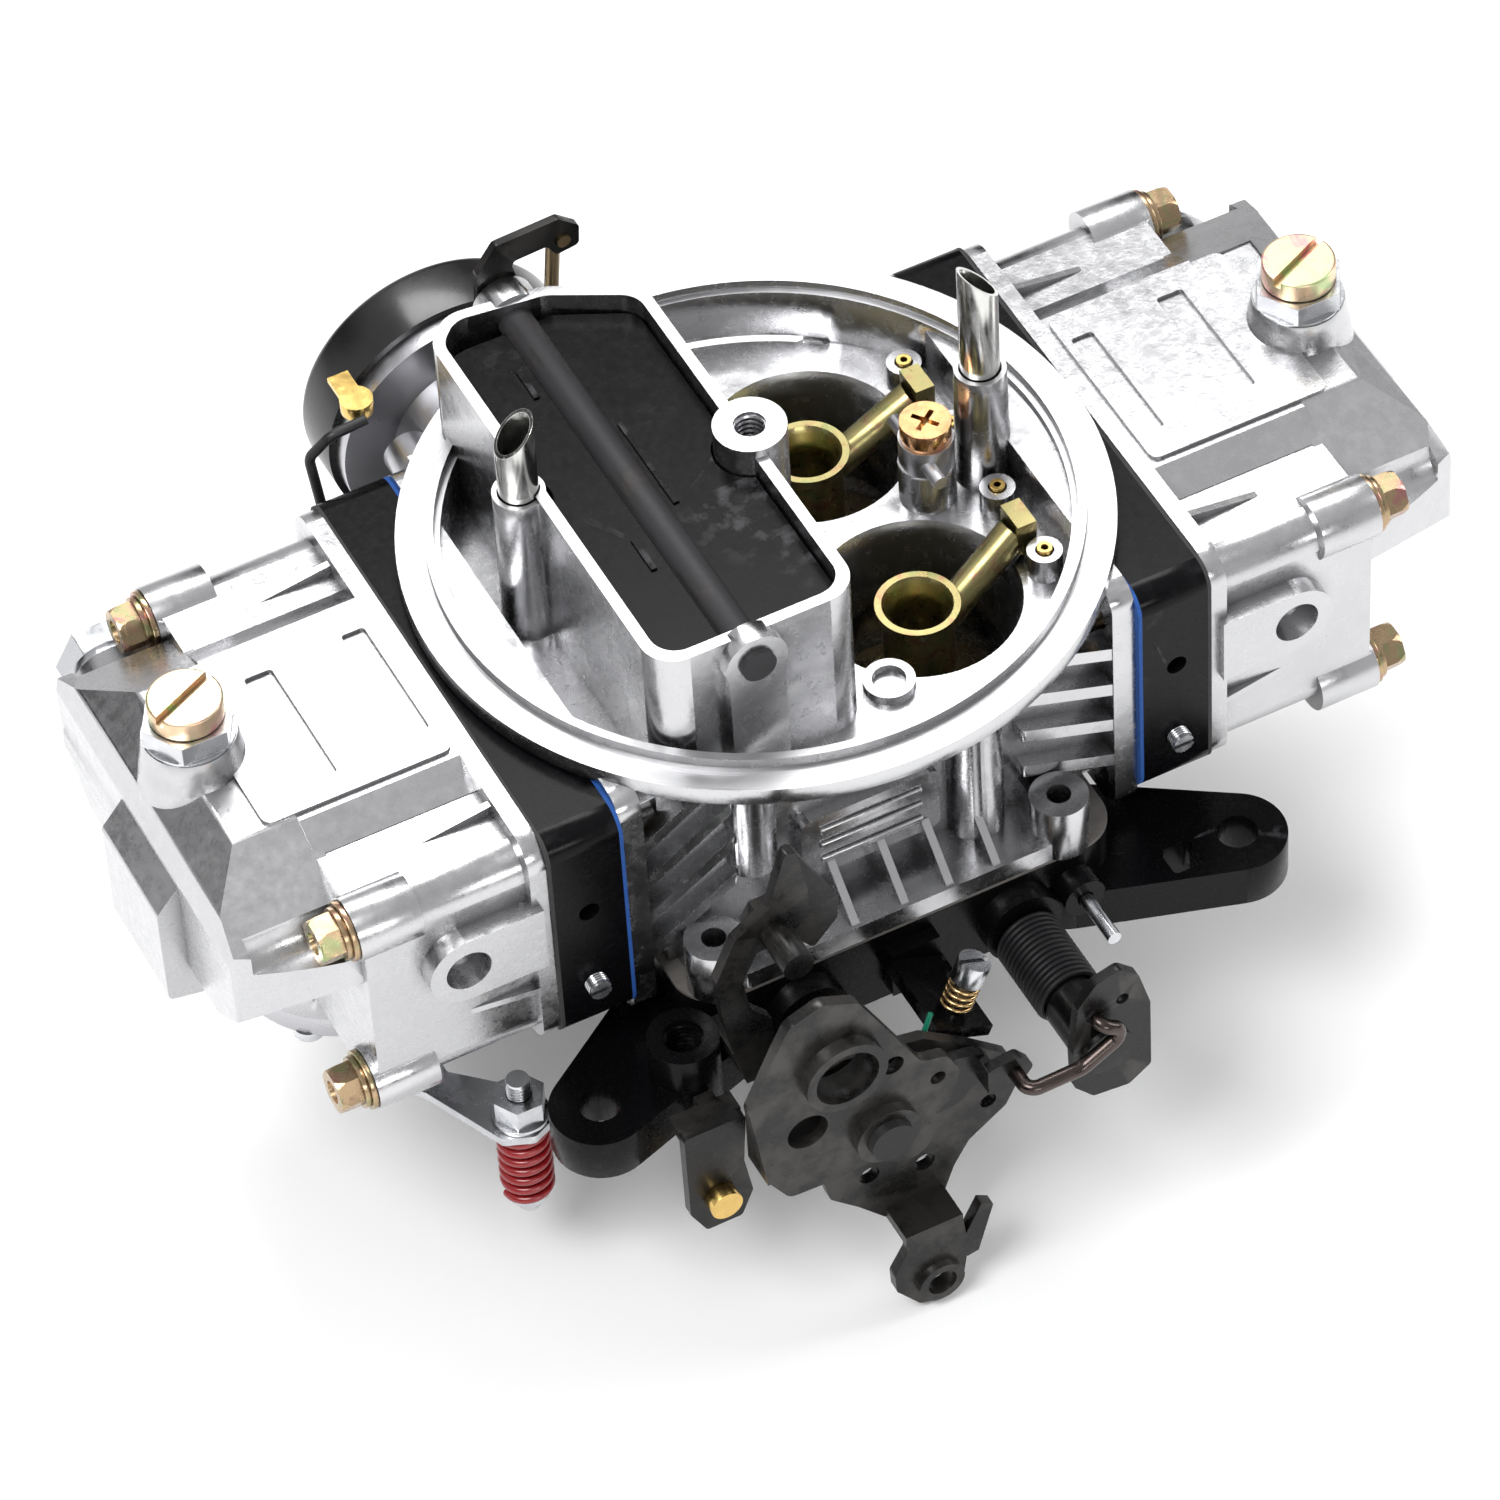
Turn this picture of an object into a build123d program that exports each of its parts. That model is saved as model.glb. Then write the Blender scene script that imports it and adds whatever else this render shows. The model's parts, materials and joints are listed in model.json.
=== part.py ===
from build123d import *
import math
import os

# All lengths in millimetres. +Z up, origin in the middle of the mounting face of the base plate.
# -X is the primary (front) bowl, +X the secondary (rear) bowl, -Y the throttle linkage side.

# Mounting flange
STUD_HALF_X = 71.44
STUD_HALF_Y = 65.485
STUD_HOLE_R = 4.2
EAR_R = 10.2
EAR_H = 10.3
BASE_TOP = 19.0
BASE_HALF_X = 48.0
BASE_NEAR_Y = 61.0

# Bores and shafts
PRI_X = -24.5
SEC_X = 23.0
BORE_Y = 23.6
BORE_R = 21.45
THROAT_R = 17.0
SHAFT_Z = 6.5
SHAFT_R = 4.75
RUN_GAP = 0.05
PLATE_R = 21.1
PLATE_T = 1.5

# Main body
BODY_Z0 = 19.8
RIM_R = 71.0
RIM_Z0 = 75.2
RIM_TOP = 79.2
LIP_R = 65.1
LIP_WALL = 1.8
LIP_TOP = 81.4
FLOOR_Z = 66.0
FLANGE_X0 = 51.4
FLANGE_X1 = 56.4
FLANGE_HALF_Y = 51.5
FLANGE_Z0 = 14.0
WALL_HALF_Y = 47.0

# Choke horn
HORN_TOP = 104.0
CHOKE_X = -24.5
CHOKE_Z = 98.6
CHOKE_SHAFT_R = 3.6
CHOKE_PLATE_T = 1.4
STUD_BOSS_TOP = 106.0
STUD_BOSS_R = 7.4
STUD_HOLE_DRILL_R = 3.3
STUD_HOLE_DEPTH = 20.0

# Metering blocks, gaskets and bowls
GASKET_T = 0.8
BLOCK_X0 = FLANGE_X1 + GASKET_T
BLOCK_X1 = 71.9
BLOCK_HALF_Y = 53.0
BLOCK_Z0 = 17.7
BLOCK_Z1 = 74.6
BOWL_X0 = BLOCK_X1 + GASKET_T
BOWL_X1 = 110.6
BOWL_HALF_Y = 50.2
BOWL_Z0 = 17.5
BOWL_Z1 = 75.0
BOWL_SCREW_Y = 45.9
BOWL_SCREW_Z = (21.8, 66.6)
SCREW_R = 2.4
SCREW_HOLE_R = 2.75
SCREW_FLATS = 8.6
NEEDLE_X = 121.5
NEEDLE_Y = -1.9
TOWER_TOP = 82.0


def block(x0, x1, y0, y1, z0, z1):
    return Pos((x0 + x1) / 2, (y0 + y1) / 2, (z0 + z1) / 2) * Box(x1 - x0, y1 - y0, z1 - z0)


def cyl_x(y, z, x0, x1, r):
    return Pos((x0 + x1) / 2, y, z) * Rot(0, 90, 0) * Cylinder(r, x1 - x0)


def cyl_y(x, z, y0, y1, r):
    return Pos(x, (y0 + y1) / 2, z) * Rot(90, 0, 0) * Cylinder(r, y1 - y0)


def cyl_z(x, y, z0, z1, r):
    return Pos(x, y, (z0 + z1) / 2) * Cylinder(r, z1 - z0)


def cone_z(x, y, z0, z1, r0, r1):
    return Pos(x, y, (z0 + z1) / 2) * Cone(r0, r1, z1 - z0)


def cone_x(y, z, x0, x1, r0, r1):
    return Pos((x0 + x1) / 2, y, z) * Rot(0, 90, 0) * Cone(r0, r1, x1 - x0)


def face_xy(points, radius=0):
    flat = make_face(Polyline(*points, close=True))
    return fillet(flat.vertices(), radius) if radius else flat


def prism_z(points, z0, z1, radius=0):
    return Pos(0, 0, z0) * extrude(face_xy(points, radius), z1 - z0)


def prism_y(points, y0, y1, radius=0):
    """Outline given as (x, z), extruded from y1 down to y0."""
    solid = extrude(face_xy(points, radius), y1 - y0)
    return Pos(0, y1, 0) * Rot(90, 0, 0) * solid


def prism_x(points, x0, x1, radius=0):
    """Outline given as (y, z), extruded from x0 up to x1."""
    return extrude(Plane.YZ.offset(x0) * face_xy(points, radius), x1 - x0)


def hex_y(x, z, y0, y1, flats):
    solid = extrude(RegularPolygon(flats / 2, 6, major_radius=False), y1 - y0)
    return Pos(x, y1, z) * Rot(90, 0, 0) * solid


def hex_x(y, z, x0, x1, flats):
    outline = Plane.YZ.offset(x0) * Pos(y, z) * RegularPolygon(flats / 2, 6, major_radius=False)
    return extrude(outline, x1 - x0)


def hex_z(x, y, z0, z1, flats):
    solid = extrude(RegularPolygon(flats / 2, 6, major_radius=False), z1 - z0)
    return Pos(x, y, z0) * solid


def turned(shape):
    """The same piece for the other end of the carburetor."""
    return Rot(0, 0, 180) * shape


def rounded_box(x0, x1, y0, y1, z0, z1, radius, axis):
    solid = block(x0, x1, y0, y1, z0, z1)
    return fillet(solid.edges().filter_by(axis), radius)


def coil(radius, wire_r, pitch, height):
    path = Helix(pitch, height, radius)
    start = path @ 0
    tangent = path % 0
    ring = Plane(origin=start, z_dir=tangent) * Circle(wire_r)
    return sweep(ring, path=path)


def rod(points, bend_radii, wire_r):
    path = FilletPolyline(*points, radius=bend_radii)
    ring = Plane(origin=path @ 0, z_dir=path % 0) * Circle(wire_r)
    return sweep(ring, path=path)


# ---------------------------------------------------------------- base plate
EAR_ROOT_R = 15.0
EAR_ROOT_X = 40.0
EAR_ROOT_Y = 50.0
IDLE_X = -0.4
IDLE_Y = -79.0
IDLE_Z = 11.5
IDLE_LEAN = 24


def idle_tab():
    """Leaning tab on the linkage side that carries the idle speed screw."""
    slab = block(-6.5, 6.5, -5.5, 19.0, -2.6, 0) - cyl_z(0, 0, -4, 2, 1.9)
    slab = Pos(IDLE_X, IDLE_Y, IDLE_Z) * Rot(0, IDLE_LEAN, 0) * slab
    return slab + block(-6.0, 5.0, -64.0, -60.0, 3.0, 15.0)


def throttle_base():
    core = rounded_box(-BASE_HALF_X, BASE_HALF_X, -BASE_NEAR_Y, BASE_NEAR_Y, 0, BASE_TOP, 9, Axis.Z)
    body = core
    for sx in (-1, 1):
        for sy in (-1, 1):
            tip = Pos(sx * STUD_HALF_X, sy * STUD_HALF_Y) * Circle(EAR_R)
            root = Pos(sx * EAR_ROOT_X, sy * EAR_ROOT_Y) * Circle(EAR_ROOT_R)
            ear = extrude(make_hull((tip + root).edges()), EAR_H)
            body += ear
    # shaft bosses on both long sides
    for x in (PRI_X, SEC_X):
        body += cyl_y(x, SHAFT_Z + 2.0, -65.5, 65.5, 8.4) & block(-60, 60, -66, 66, 0, BASE_TOP)
    # threaded boss beside the front stud and the one opposite
    for sx, sy in ((-1, -1), (1, 1)):
        body += cyl_z(sx * 52.5, sy * 65.0, 0, 19.5, 7.2)
        body -= cyl_z(sx * 52.5, sy * 65.0, 5.0, 20.0, 4.1)
    # boss that carries the idle speed screw, and a ported vacuum boss
    body += idle_tab()
    body += cyl_y(36.5, 10.5, -66, -58, 4.5)
    body -= cyl_y(36.5, 10.5, -67, -57, 1.8)
    for x in (PRI_X, SEC_X):
        for y in (-BORE_Y, BORE_Y):
            body -= cyl_z(x, y, -1, BASE_TOP + 1, BORE_R)
        body -= cyl_y(x, SHAFT_Z, -70, 70, SHAFT_R + RUN_GAP)
    for sx in (-1, 1):
        for sy in (-1, 1):
            body -= cyl_z(sx * STUD_HALF_X, sy * STUD_HALF_Y, -1, EAR_H + 1, STUD_HOLE_R)
    body -= rounded_box(55.2, 62.0, -69.2, -62.4, -1, EAR_H + 1, 1, Axis.Z)
    return body




def base_gasket():
    sheet = rounded_box(-BASE_HALF_X, BASE_HALF_X, -BASE_NEAR_Y, BASE_NEAR_Y, BASE_TOP, BODY_Z0, 9, Axis.Z)
    for x in (PRI_X, SEC_X):
        for y in (-BORE_Y, BORE_Y):
            sheet -= cyl_z(x, y, BASE_TOP - 1, BODY_Z0 + 1, BORE_R)
    return sheet


# ---------------------------------------------------------------- main body
HORN_OUT = ((-44, -47), (0, -47), (0, 45.5), (-17.5, 55.5), (-38, 58), (-44, 52))
HORN_IN = ((-41.6, -44.6), (-2.4, -44.6), (-2.4, 44.1), (-18.2, 53), (-37, 55.6), (-41.6, 51))
VENTS = ((-45.8, 9.0, 103.0, 123.0), (50.5, 0.0, 96.0, 124.0))
SQUIRTER_X = 38.0
BLEED_X = 48.4
VENT_R = 4.05
BLEED_Y = (-29.5, -10.0, 10.0, 29.5)
BLEED_TOP = 72.0
PANEL = (-17.5, 13.0, 30.5, 47.0)
LUGS = ((-40.4, -56.0), (36.0, -56.6), (40.4, 56.0), (-36.0, 56.6))
BOOSTER_PAD_X = 46.0
RIB_IN_X = 31.5
RIB_T = 3.2
RIB_LOW_Z = (27.4, 37.8, 48.2, 58.6)
RIB_RISE = {-1: 0.55, 1: 0.32}
GUSSET_X = (-22.0, -11.5, -0.5, 9.5, 20.0)
GUSSET_T = 1.7
PASSAGES = ((-27.0, 40.0, 5.2), (22.0, 24.0, 6.0))
SHELF_X = 54.0
PAD_X = 7.4
PAD_Y = -41.3
SHELF_TOP = 77.2


def body_shell():
    shell = cyl_z(0, 0, RIM_Z0, RIM_TOP, RIM_R)
    shell += cone_z(0, 0, 60.0, RIM_Z0, 56.0, 69.4) & block(-FLANGE_X1, FLANGE_X1, -72, 72, 59, 76)
    shell += block(-FLANGE_X0, FLANGE_X0, -WALL_HALF_Y, WALL_HALF_Y, BODY_Z0, RIM_Z0 + 1)
    foot = ((-43, -55), (-36, -61), (36, -61), (43, -55), (43, 55), (36, 61), (-36, 61), (-43, 55))
    shell += prism_z(foot, BODY_Z0, BODY_Z0 + 4.5, 2)
    for sx in (-1, 1):
        x0, x1 = sorted((sx * FLANGE_X0, sx * FLANGE_X1))
        shell += rounded_box(x0, x1, -FLANGE_HALF_Y, FLANGE_HALF_Y, FLANGE_Z0, RIM_Z0 + 1.2, 5, Axis.X)
    lip_bore = cyl_z(0, 0, RIM_TOP - 2, LIP_TOP + 1, LIP_R - LIP_WALL)
    shell += cyl_z(0, 0, RIM_TOP - 1, LIP_TOP, LIP_R) - lip_bore
    return shell


def side_ribs(sx, sy):
    """Slanted strengthening ribs that climb from the end flange towards the middle of the side wall."""
    x0 = sx * (FLANGE_X0 + 1)
    x1 = sx * RIB_IN_X
    wedge = prism_z(((x0, sy * 51.3), (x0, sy * 46), (x1, sy * 46), (x1, sy * 50.2)), 20, 74, 0.9)
    rise = RIB_RISE[sx] * (FLANGE_X0 + 1 - RIB_IN_X)
    ribs = None
    for low in RIB_LOW_Z:
        outline = ((x0, low), (x0, low + RIB_T), (x1, low + RIB_T + rise), (x1, low + rise))
        rib = prism_y(outline, -54, 54) & wedge
        ribs = rib if ribs is None else ribs + rib
    return ribs


def side_relief(sy):
    """Gussets under the side panel, the round passages beside it, and the pillar under the choke boss."""
    relief = None
    for x in GUSSET_X:
        points = ((sy * 46, 40), (sy * 49.8, 34), (sy * 60.4, 24), (sy * 46, 24))
        gusset = prism_x(points, x - GUSSET_T / 2, x + GUSSET_T / 2)
        relief = gusset if relief is None else relief + gusset
    for x, low, r in PASSAGES:
        relief += cyl_z(x, sy * 47.0, low, RIM_Z0 + 1, r)
    return relief


def main_body():
    body = body_shell()
    body += prism_z(HORN_OUT, FLOOR_Z - 2, HORN_TOP, 7)
    body += cyl_z(0, 0, FLOOR_Z - 2, STUD_BOSS_TOP, STUD_BOSS_R)
    body += cyl_y(CHOKE_X, CHOKE_Z, -50.0, -45.2, 6.6)
    body += cyl_y(CHOKE_X, CHOKE_Z, 54.7, 60.5, 6.6)
    body += block(CHOKE_X - 6.0, CHOKE_X + 6.0, -50.0, -46, FLOOR_Z - 1, CHOKE_Z)
    for sy in (-1, 1):
        body += side_relief(sy)
    for sx in (-1, 1):
        for sy in (-1, 1):
            body += side_ribs(sx, sy)
    for x, y in LUGS:
        body += cyl_z(x, y, BODY_Z0, 33.0, 6.0)
        body += block(x - 4, x + 4, min(y, 0.8 * y), max(y, 0.8 * y), BODY_Z0, 30.0)
    # wells cut into the casting
    inner = cyl_z(0, 0, FLOOR_Z, LIP_TOP + 1, LIP_R - LIP_WALL - 1.2)
    inner -= block(SHELF_X, RIM_R, -RIM_R, RIM_R, FLOOR_Z - 1, SHELF_TOP)
    inner -= block(-RIM_R, -SHELF_X, -RIM_R, RIM_R, FLOOR_Z - 1, SHELF_TOP)
    keep_horn = prism_z(HORN_OUT, FLOOR_Z - 3, HORN_TOP + 1, 7) + cyl_z(0, 0, 60, 110, STUD_BOSS_R)
    keep_horn += block(CHOKE_X - 6.0, CHOKE_X + 6.0, -50.0, -46, FLOOR_Z - 2, CHOKE_Z)
    body -= inner - keep_horn
    body -= prism_z(HORN_IN, FLOOR_Z, HORN_TOP + 1, 5.5) - cyl_z(0, 0, 60, 110, STUD_BOSS_R)
    # floor bosses
    for x, y, z1, _ in VENTS:
        body += cone_z(x, y, FLOOR_Z - 1, z1, 5.8, 5.3)
        body -= cyl_z(x, y, z1 - 12.0, z1 + 1, 4.3)
    body += cyl_z(SQUIRTER_X, 0, FLOOR_Z - 1, 76.0, 5.8)
    body += cyl_z(-SQUIRTER_X + 2.0, 0, FLOOR_Z - 1, 72.0, 5.2)
    for y in BLEED_Y:
        body += cyl_z(BLEED_X, y, FLOOR_Z - 1, BLEED_TOP, 3.6)
    body += cyl_z(PAD_X, PAD_Y, FLOOR_Z - 1, 68.2, 5.2)
    for y in (-BORE_Y, BORE_Y):
        body += block(BOOSTER_PAD_X, 52, y * 0.9 - 5, y * 0.9 + 5, FLOOR_Z - 1, 67.5)
    # bores with their venturi waist
    for x in (PRI_X, SEC_X):
        mouth_r = 17.6 if x < 0 else 21.0
        for y in (-BORE_Y, BORE_Y):
            body -= cyl_z(x, y, BODY_Z0 - 1, 31, BORE_R)
            body -= cone_z(x, y, 30.99, 42, BORE_R, THROAT_R)
            body -= cyl_z(x, y, 41, 53, THROAT_R)
            body -= cone_z(x, y, 52, FLOOR_Z + 0.1, THROAT_R, mouth_r)
    # recess for the choke housing and the slot its rod passes through
    body -= block(-51.3, -5, 52.0, 75, 36, RIM_Z0)
    body -= rounded_box(-18.0, -4.0, 60.8, 67.4, 70, 85, 1.9, Axis.Z)
    body -= cyl_y(CHOKE_X, CHOKE_Z, -52, 64, CHOKE_SHAFT_R + RUN_GAP)
    body -= cyl_z(0, 0, STUD_BOSS_TOP - STUD_HOLE_DEPTH, STUD_BOSS_TOP + 1, STUD_HOLE_DRILL_R)
    for x in (SQUIRTER_X, -SQUIRTER_X + 2.0):
        body -= cyl_z(x, 0, 63.0, 77, 2.3)
    for y in BLEED_Y:
        body -= cyl_z(BLEED_X, y, BLEED_TOP - 5, BLEED_TOP + 1, 1.9)
    body -= cyl_z(PAD_X, PAD_Y, FLOOR_Z + 0.4, 90, 3.4)
    for x, y in LUGS:
        body -= cyl_z(x, y, BODY_Z0 + 4, 34, 2.5)
    # plain raised panel on the side wall and shallow pockets under it
    px0, px1, pz0, pz1 = PANEL
    for sy in (-1, 1):
        y0, y1 = sorted((sy * (WALL_HALF_Y - 1), sy * 50.0))
        body += rounded_box(px0, px1, y0, y1, pz0, pz1, 2, Axis.Y)
    for sx in (-1, 1):
        for sy in (-1, 1):
            for z in BOWL_SCREW_Z:
                x0, x1 = sorted((sx * (FLANGE_X0 - 5), sx * (FLANGE_X1 + 1)))
                body -= cyl_x(sy * BOWL_SCREW_Y, z, x0, x1, SCREW_HOLE_R)
    return body


# ---------------------------------------------------------------- gaskets, metering blocks
def end_sheet(x0, x1, z0, z1, window):
    sheet = rounded_box(x0, x1, -BLOCK_HALF_Y, BLOCK_HALF_Y, z0, z1, 5, Axis.X)
    sheet -= block(x0 - 1, x1 + 1, -window, window, 30, 62)
    for y in (-BOWL_SCREW_Y, BOWL_SCREW_Y):
        for z in BOWL_SCREW_Z:
            sheet -= cyl_x(y, z, x0 - 1, x1 + 1, SCREW_HOLE_R + 0.3)
    return sheet


MIXTURE_X = 64.8
MIXTURE_Z = 31.0
JET_Y = 14.0
JET_Z = 30.0


def metering_block():
    body = rounded_box(BLOCK_X0, BLOCK_X1, -BLOCK_HALF_Y, BLOCK_HALF_Y, BLOCK_Z0, BLOCK_Z1, 5, Axis.X)
    for y in (-BOWL_SCREW_Y, BOWL_SCREW_Y):
        for z in BOWL_SCREW_Z:
            body -= cyl_x(y, z, BLOCK_X0 - 1, BLOCK_X1 + 1, SCREW_HOLE_R)
    for side in (-1, 1):
        y0, y1 = sorted((side * 40.0, side * 54))
        body -= cyl_y(MIXTURE_X, MIXTURE_Z, y0, y1, 2.6)
        y0, y1 = sorted((side * 49.0, side * 54))
        body -= cyl_y(MIXTURE_X, 51.8, y0, y1, 2.2)
        body -= cyl_x(side * JET_Y, JET_Z, BLOCK_X1 - 9, BLOCK_X1 + 1, 3.0)
    return body


def mixture_screws():
    group = []
    for side in (-1, 1):
        y0, y1 = sorted((side * 42.0, side * 55.8))
        screw = cyl_y(MIXTURE_X, MIXTURE_Z, y0, y1, 2.25)
        s0, s1 = sorted((side * 55.0, side * 56.5))
        screw -= block(MIXTURE_X - 2.6, MIXTURE_X + 2.6, s0, s1, MIXTURE_Z - 0.45, MIXTURE_Z + 0.45)
        group.append(screw)
    return group + [turned(s) for s in group]


# ---------------------------------------------------------------- bowls
BOWL_WALL = 3.4
CAVITY_Y = 40.5
PUMP_X = 96.4
PUMP_R = 23.3
PUMP_TOP = 10.0
BARREL_X = 120.0
BARREL_Z = 50.5
BARREL_R = 15.2
BARREL_Y = 38.5
INLET_Y = 48.4
SIGHT_X = 91.3
SIGHT_Z = 51.2
SHOULDER_Z = 70.8
BOWL_FLANGE_X = 76.4
BOWL_FLANGE_Y = 52.6
FIN_T = 1.5
HOOD_X = 134.5
HOOD_SIDE = ((-48.4, 52.5), (-47.2, 59.5), (-41.5, 65.5), (-22, BOWL_Z1), (22, BOWL_Z1), (41.5, 65.5),
             (47.2, 59.5),
             (48.4, 52.5), (24, 34), (-24, 34))
HOOD_ROOF = ((107.6, 20), (107.6, BOWL_Z1), (124, BOWL_Z1), (132.5, 69.5), (HOOD_X, 63), (HOOD_X, 38),
             (124, 31))


def bowl_shell():
    """Open-backed box with a wider flange against the metering block and a hump along its middle."""
    body = rounded_box(BOWL_X0, BOWL_X1, -BOWL_HALF_Y, BOWL_HALF_Y, BOWL_Z0, SHOULDER_Z, 6.5, Axis.X)
    lip = rounded_box(BOWL_X0, BOWL_FLANGE_X, -BOWL_FLANGE_Y, BOWL_FLANGE_Y, BOWL_Z0 - 0.5, BOWL_Z1, 6.5,
                      Axis.X)
    hump = ((-30, SHOULDER_Z - 1), (-30, SHOULDER_Z + 0.2), (-23.5, BOWL_Z1), (23.5, BOWL_Z1),
            (30, SHOULDER_Z + 0.2),
            (30, SHOULDER_Z - 1))
    body += lip + prism_x(hump, BOWL_X0, BOWL_X1)
    # thin ribs that fade away from the flange
    for y in (-36.0, 36.0):
        fin = ((BOWL_FLANGE_X - 1, SHOULDER_Z - 1), (BOWL_FLANGE_X - 1, SHOULDER_Z + 2.6),
               (99, SHOULDER_Z - 1))
        body += prism_y(fin, y - FIN_T / 2, y + FIN_T / 2)
    for side in (-1, 1):
        fin = ((BOWL_FLANGE_X - 1, side * 49), (BOWL_FLANGE_X - 1, side * 52.2), (99, side * 49))
        body += prism_z(fin, 33.0, 33.0 + FIN_T)
    return body


def hood_chamber():
    """Sloping inlet chamber on the outer face, scooped out round the two upper screws."""
    chamber = prism_x(HOOD_SIDE, BOWL_X1 - 2, HOOD_X, 2.2)
    taper = ((BOWL_X1 - 3, -49), (HOOD_X + 0.5, -40.8), (HOOD_X + 0.5, 40.8), (BOWL_X1 - 3, 49))
    chamber = chamber & prism_z(taper, 20, 80, 2)
    chamber = chamber & prism_y(HOOD_ROOF, -50, 50, 1.5)
    for y in (-BOWL_SCREW_Y, BOWL_SCREW_Y):
        chamber -= cyl_x(y, BOWL_SCREW_Z[1], BOWL_X1, HOOD_X - 4, 7.4)
    return chamber


def bowl_outside(inlet_sign):
    body = bowl_shell() + hood_chamber()
    y0, y1 = sorted((-inlet_sign * 9.0, inlet_sign * BARREL_Y))
    body += cyl_y(BARREL_X, BARREL_Z, y0, y1, BARREL_R)
    y0, y1 = sorted((inlet_sign * 36.0, inlet_sign * INLET_Y))
    body += cyl_y(BARREL_X, BARREL_Z, y0, y1, 9.6)
    box = ((126, 28), (139.5, 31), (139.5, 56), (134, 62.5), (126, 66))
    body += prism_y(box, -9.5, 16.5, 1.5)
    body += cone_z(NEEDLE_X, NEEDLE_Y, 62, TOWER_TOP, 12.5, 9.4)
    # sight-plug bosses
    for side in (-1, 1):
        y0, y1 = sorted((side * (BOWL_HALF_Y - 2), side * 54.4))
        boss = cyl_y(SIGHT_X, SIGHT_Z, y0, y1, 8.2)
        boss += block(BOWL_X0 + 2, SIGHT_X, y0, y1, SIGHT_Z - 8.2, SIGHT_Z + 8.2)
        body += boss
    # screw lobes
    for y in (-BOWL_SCREW_Y, BOWL_SCREW_Y):
        for z in BOWL_SCREW_Z:
            body += cyl_x(y, z, BOWL_X1 - 12, BOWL_X1 + 1.2, 6.6)
    # plain raised panel with two shallow recesses on top
    body += rounded_box(77.0, 117.0, -22.0, 22.0, BOWL_Z1 - 1, BOWL_Z1 + 0.9, 2, Axis.Z)
    body += cyl_z(PUMP_X, 0, PUMP_TOP, BOWL_Z0 + 1, PUMP_R)
    return body


def bowl(inlet_sign):
    body = bowl_outside(inlet_sign)
    body -= block(BOWL_X0 - 1, BOWL_X1 - BOWL_WALL, -CAVITY_Y, CAVITY_Y, BOWL_Z0 + 4, SHOULDER_Z - BOWL_WALL)
    body -= block(BOWL_X1 - BOWL_WALL - 1, 130.5, -13, 13, 38, 60.0)
    body -= cyl_z(NEEDLE_X, NEEDLE_Y, 50, TOWER_TOP + 1, 5.4)
    body -= cyl_z(PUMP_X, 0, PUMP_TOP - 1, BOWL_Z0 + 1, PUMP_R - 5.5)
    for x0, x1, y0, y1 in ((99.0, 105.0, -14.0, 16.5), (78.6, 83.6, -15.0, 15.0)):
        body -= rounded_box(x0, x1, y0, y1, BOWL_Z1, BOWL_Z1 + 2, 0.8, Axis.Z)
    for side in (-1, 1):
        y0, y1 = sorted((side * 48.4, side * 55))
        body -= cyl_y(SIGHT_X, SIGHT_Z, y0, y1, 4.8)
    for y in (-BOWL_SCREW_Y, BOWL_SCREW_Y):
        for z in BOWL_SCREW_Z:
            body -= cyl_x(y, z, BOWL_X0 - 1, BOWL_X1 + 2, SCREW_HOLE_R)
    for px, py in pump_screw_points():
        body -= cyl_z(px, py, PUMP_TOP - 1, PUMP_TOP + 7, 1.9)
    return body


def inlet_plug(side_sign):
    """Hexagon plug with a collar on the choke-side end of the inlet barrel."""
    x = side_sign * BARREL_X
    plug = cyl_y(x, BARREL_Z, INLET_Y, INLET_Y + 2.5, 8.8)
    plug += hex_y(x, BARREL_Z, INLET_Y + 2.5, INLET_Y + 9.0, 15.0)
    return plug


def bowl_screw(y, z):
    x0 = BOWL_X1 + 1.2
    screw = cyl_x(y, z, x0 + 1.2, x0 + 2.4, 5.4)
    screw += hex_x(y, z, x0 + 2.4, x0 + 7.2, SCREW_FLATS) & cone_x(y, z, x0 + 2.4, x0 + 7.2, 5.6, 4.5)
    screw += cyl_x(y, z, FLANGE_X1 - 3, x0 + 2, SCREW_R)
    return screw - cyl_x(y, z, x0 + 5.4, x0 + 8, 2.4)


def bowl_screws():
    group = [bowl_screw(y, z) for y in (-BOWL_SCREW_Y, BOWL_SCREW_Y) for z in BOWL_SCREW_Z]
    return group + [turned(s) for s in group]


def bowl_washers():
    group = []
    for y in (-BOWL_SCREW_Y, BOWL_SCREW_Y):
        for z in BOWL_SCREW_Z:
            ring = cyl_x(y, z, BOWL_X1 + 1.2, BOWL_X1 + 2.4, 6.2)
            ring -= cyl_x(y, z, BOWL_X1, BOWL_X1 + 4, SCREW_HOLE_R)
            group.append(ring)
    return group + [turned(s) for s in group]


def needle_seat():
    seat = cyl_z(NEEDLE_X, NEEDLE_Y, 53.0, 86.0, 5.0)
    seat -= cyl_z(NEEDLE_X, NEEDLE_Y, 52, 62, 2.6)
    return seat


def needle_nut():
    nut = hex_z(NEEDLE_X, NEEDLE_Y, TOWER_TOP + 0.6, TOWER_TOP + 5.2, 16.5)
    nut += cyl_z(NEEDLE_X, NEEDLE_Y, TOWER_TOP, TOWER_TOP + 0.6, 9.2)
    return nut - cyl_z(NEEDLE_X, NEEDLE_Y, TOWER_TOP - 1, TOWER_TOP + 6, 5.4)


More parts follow.
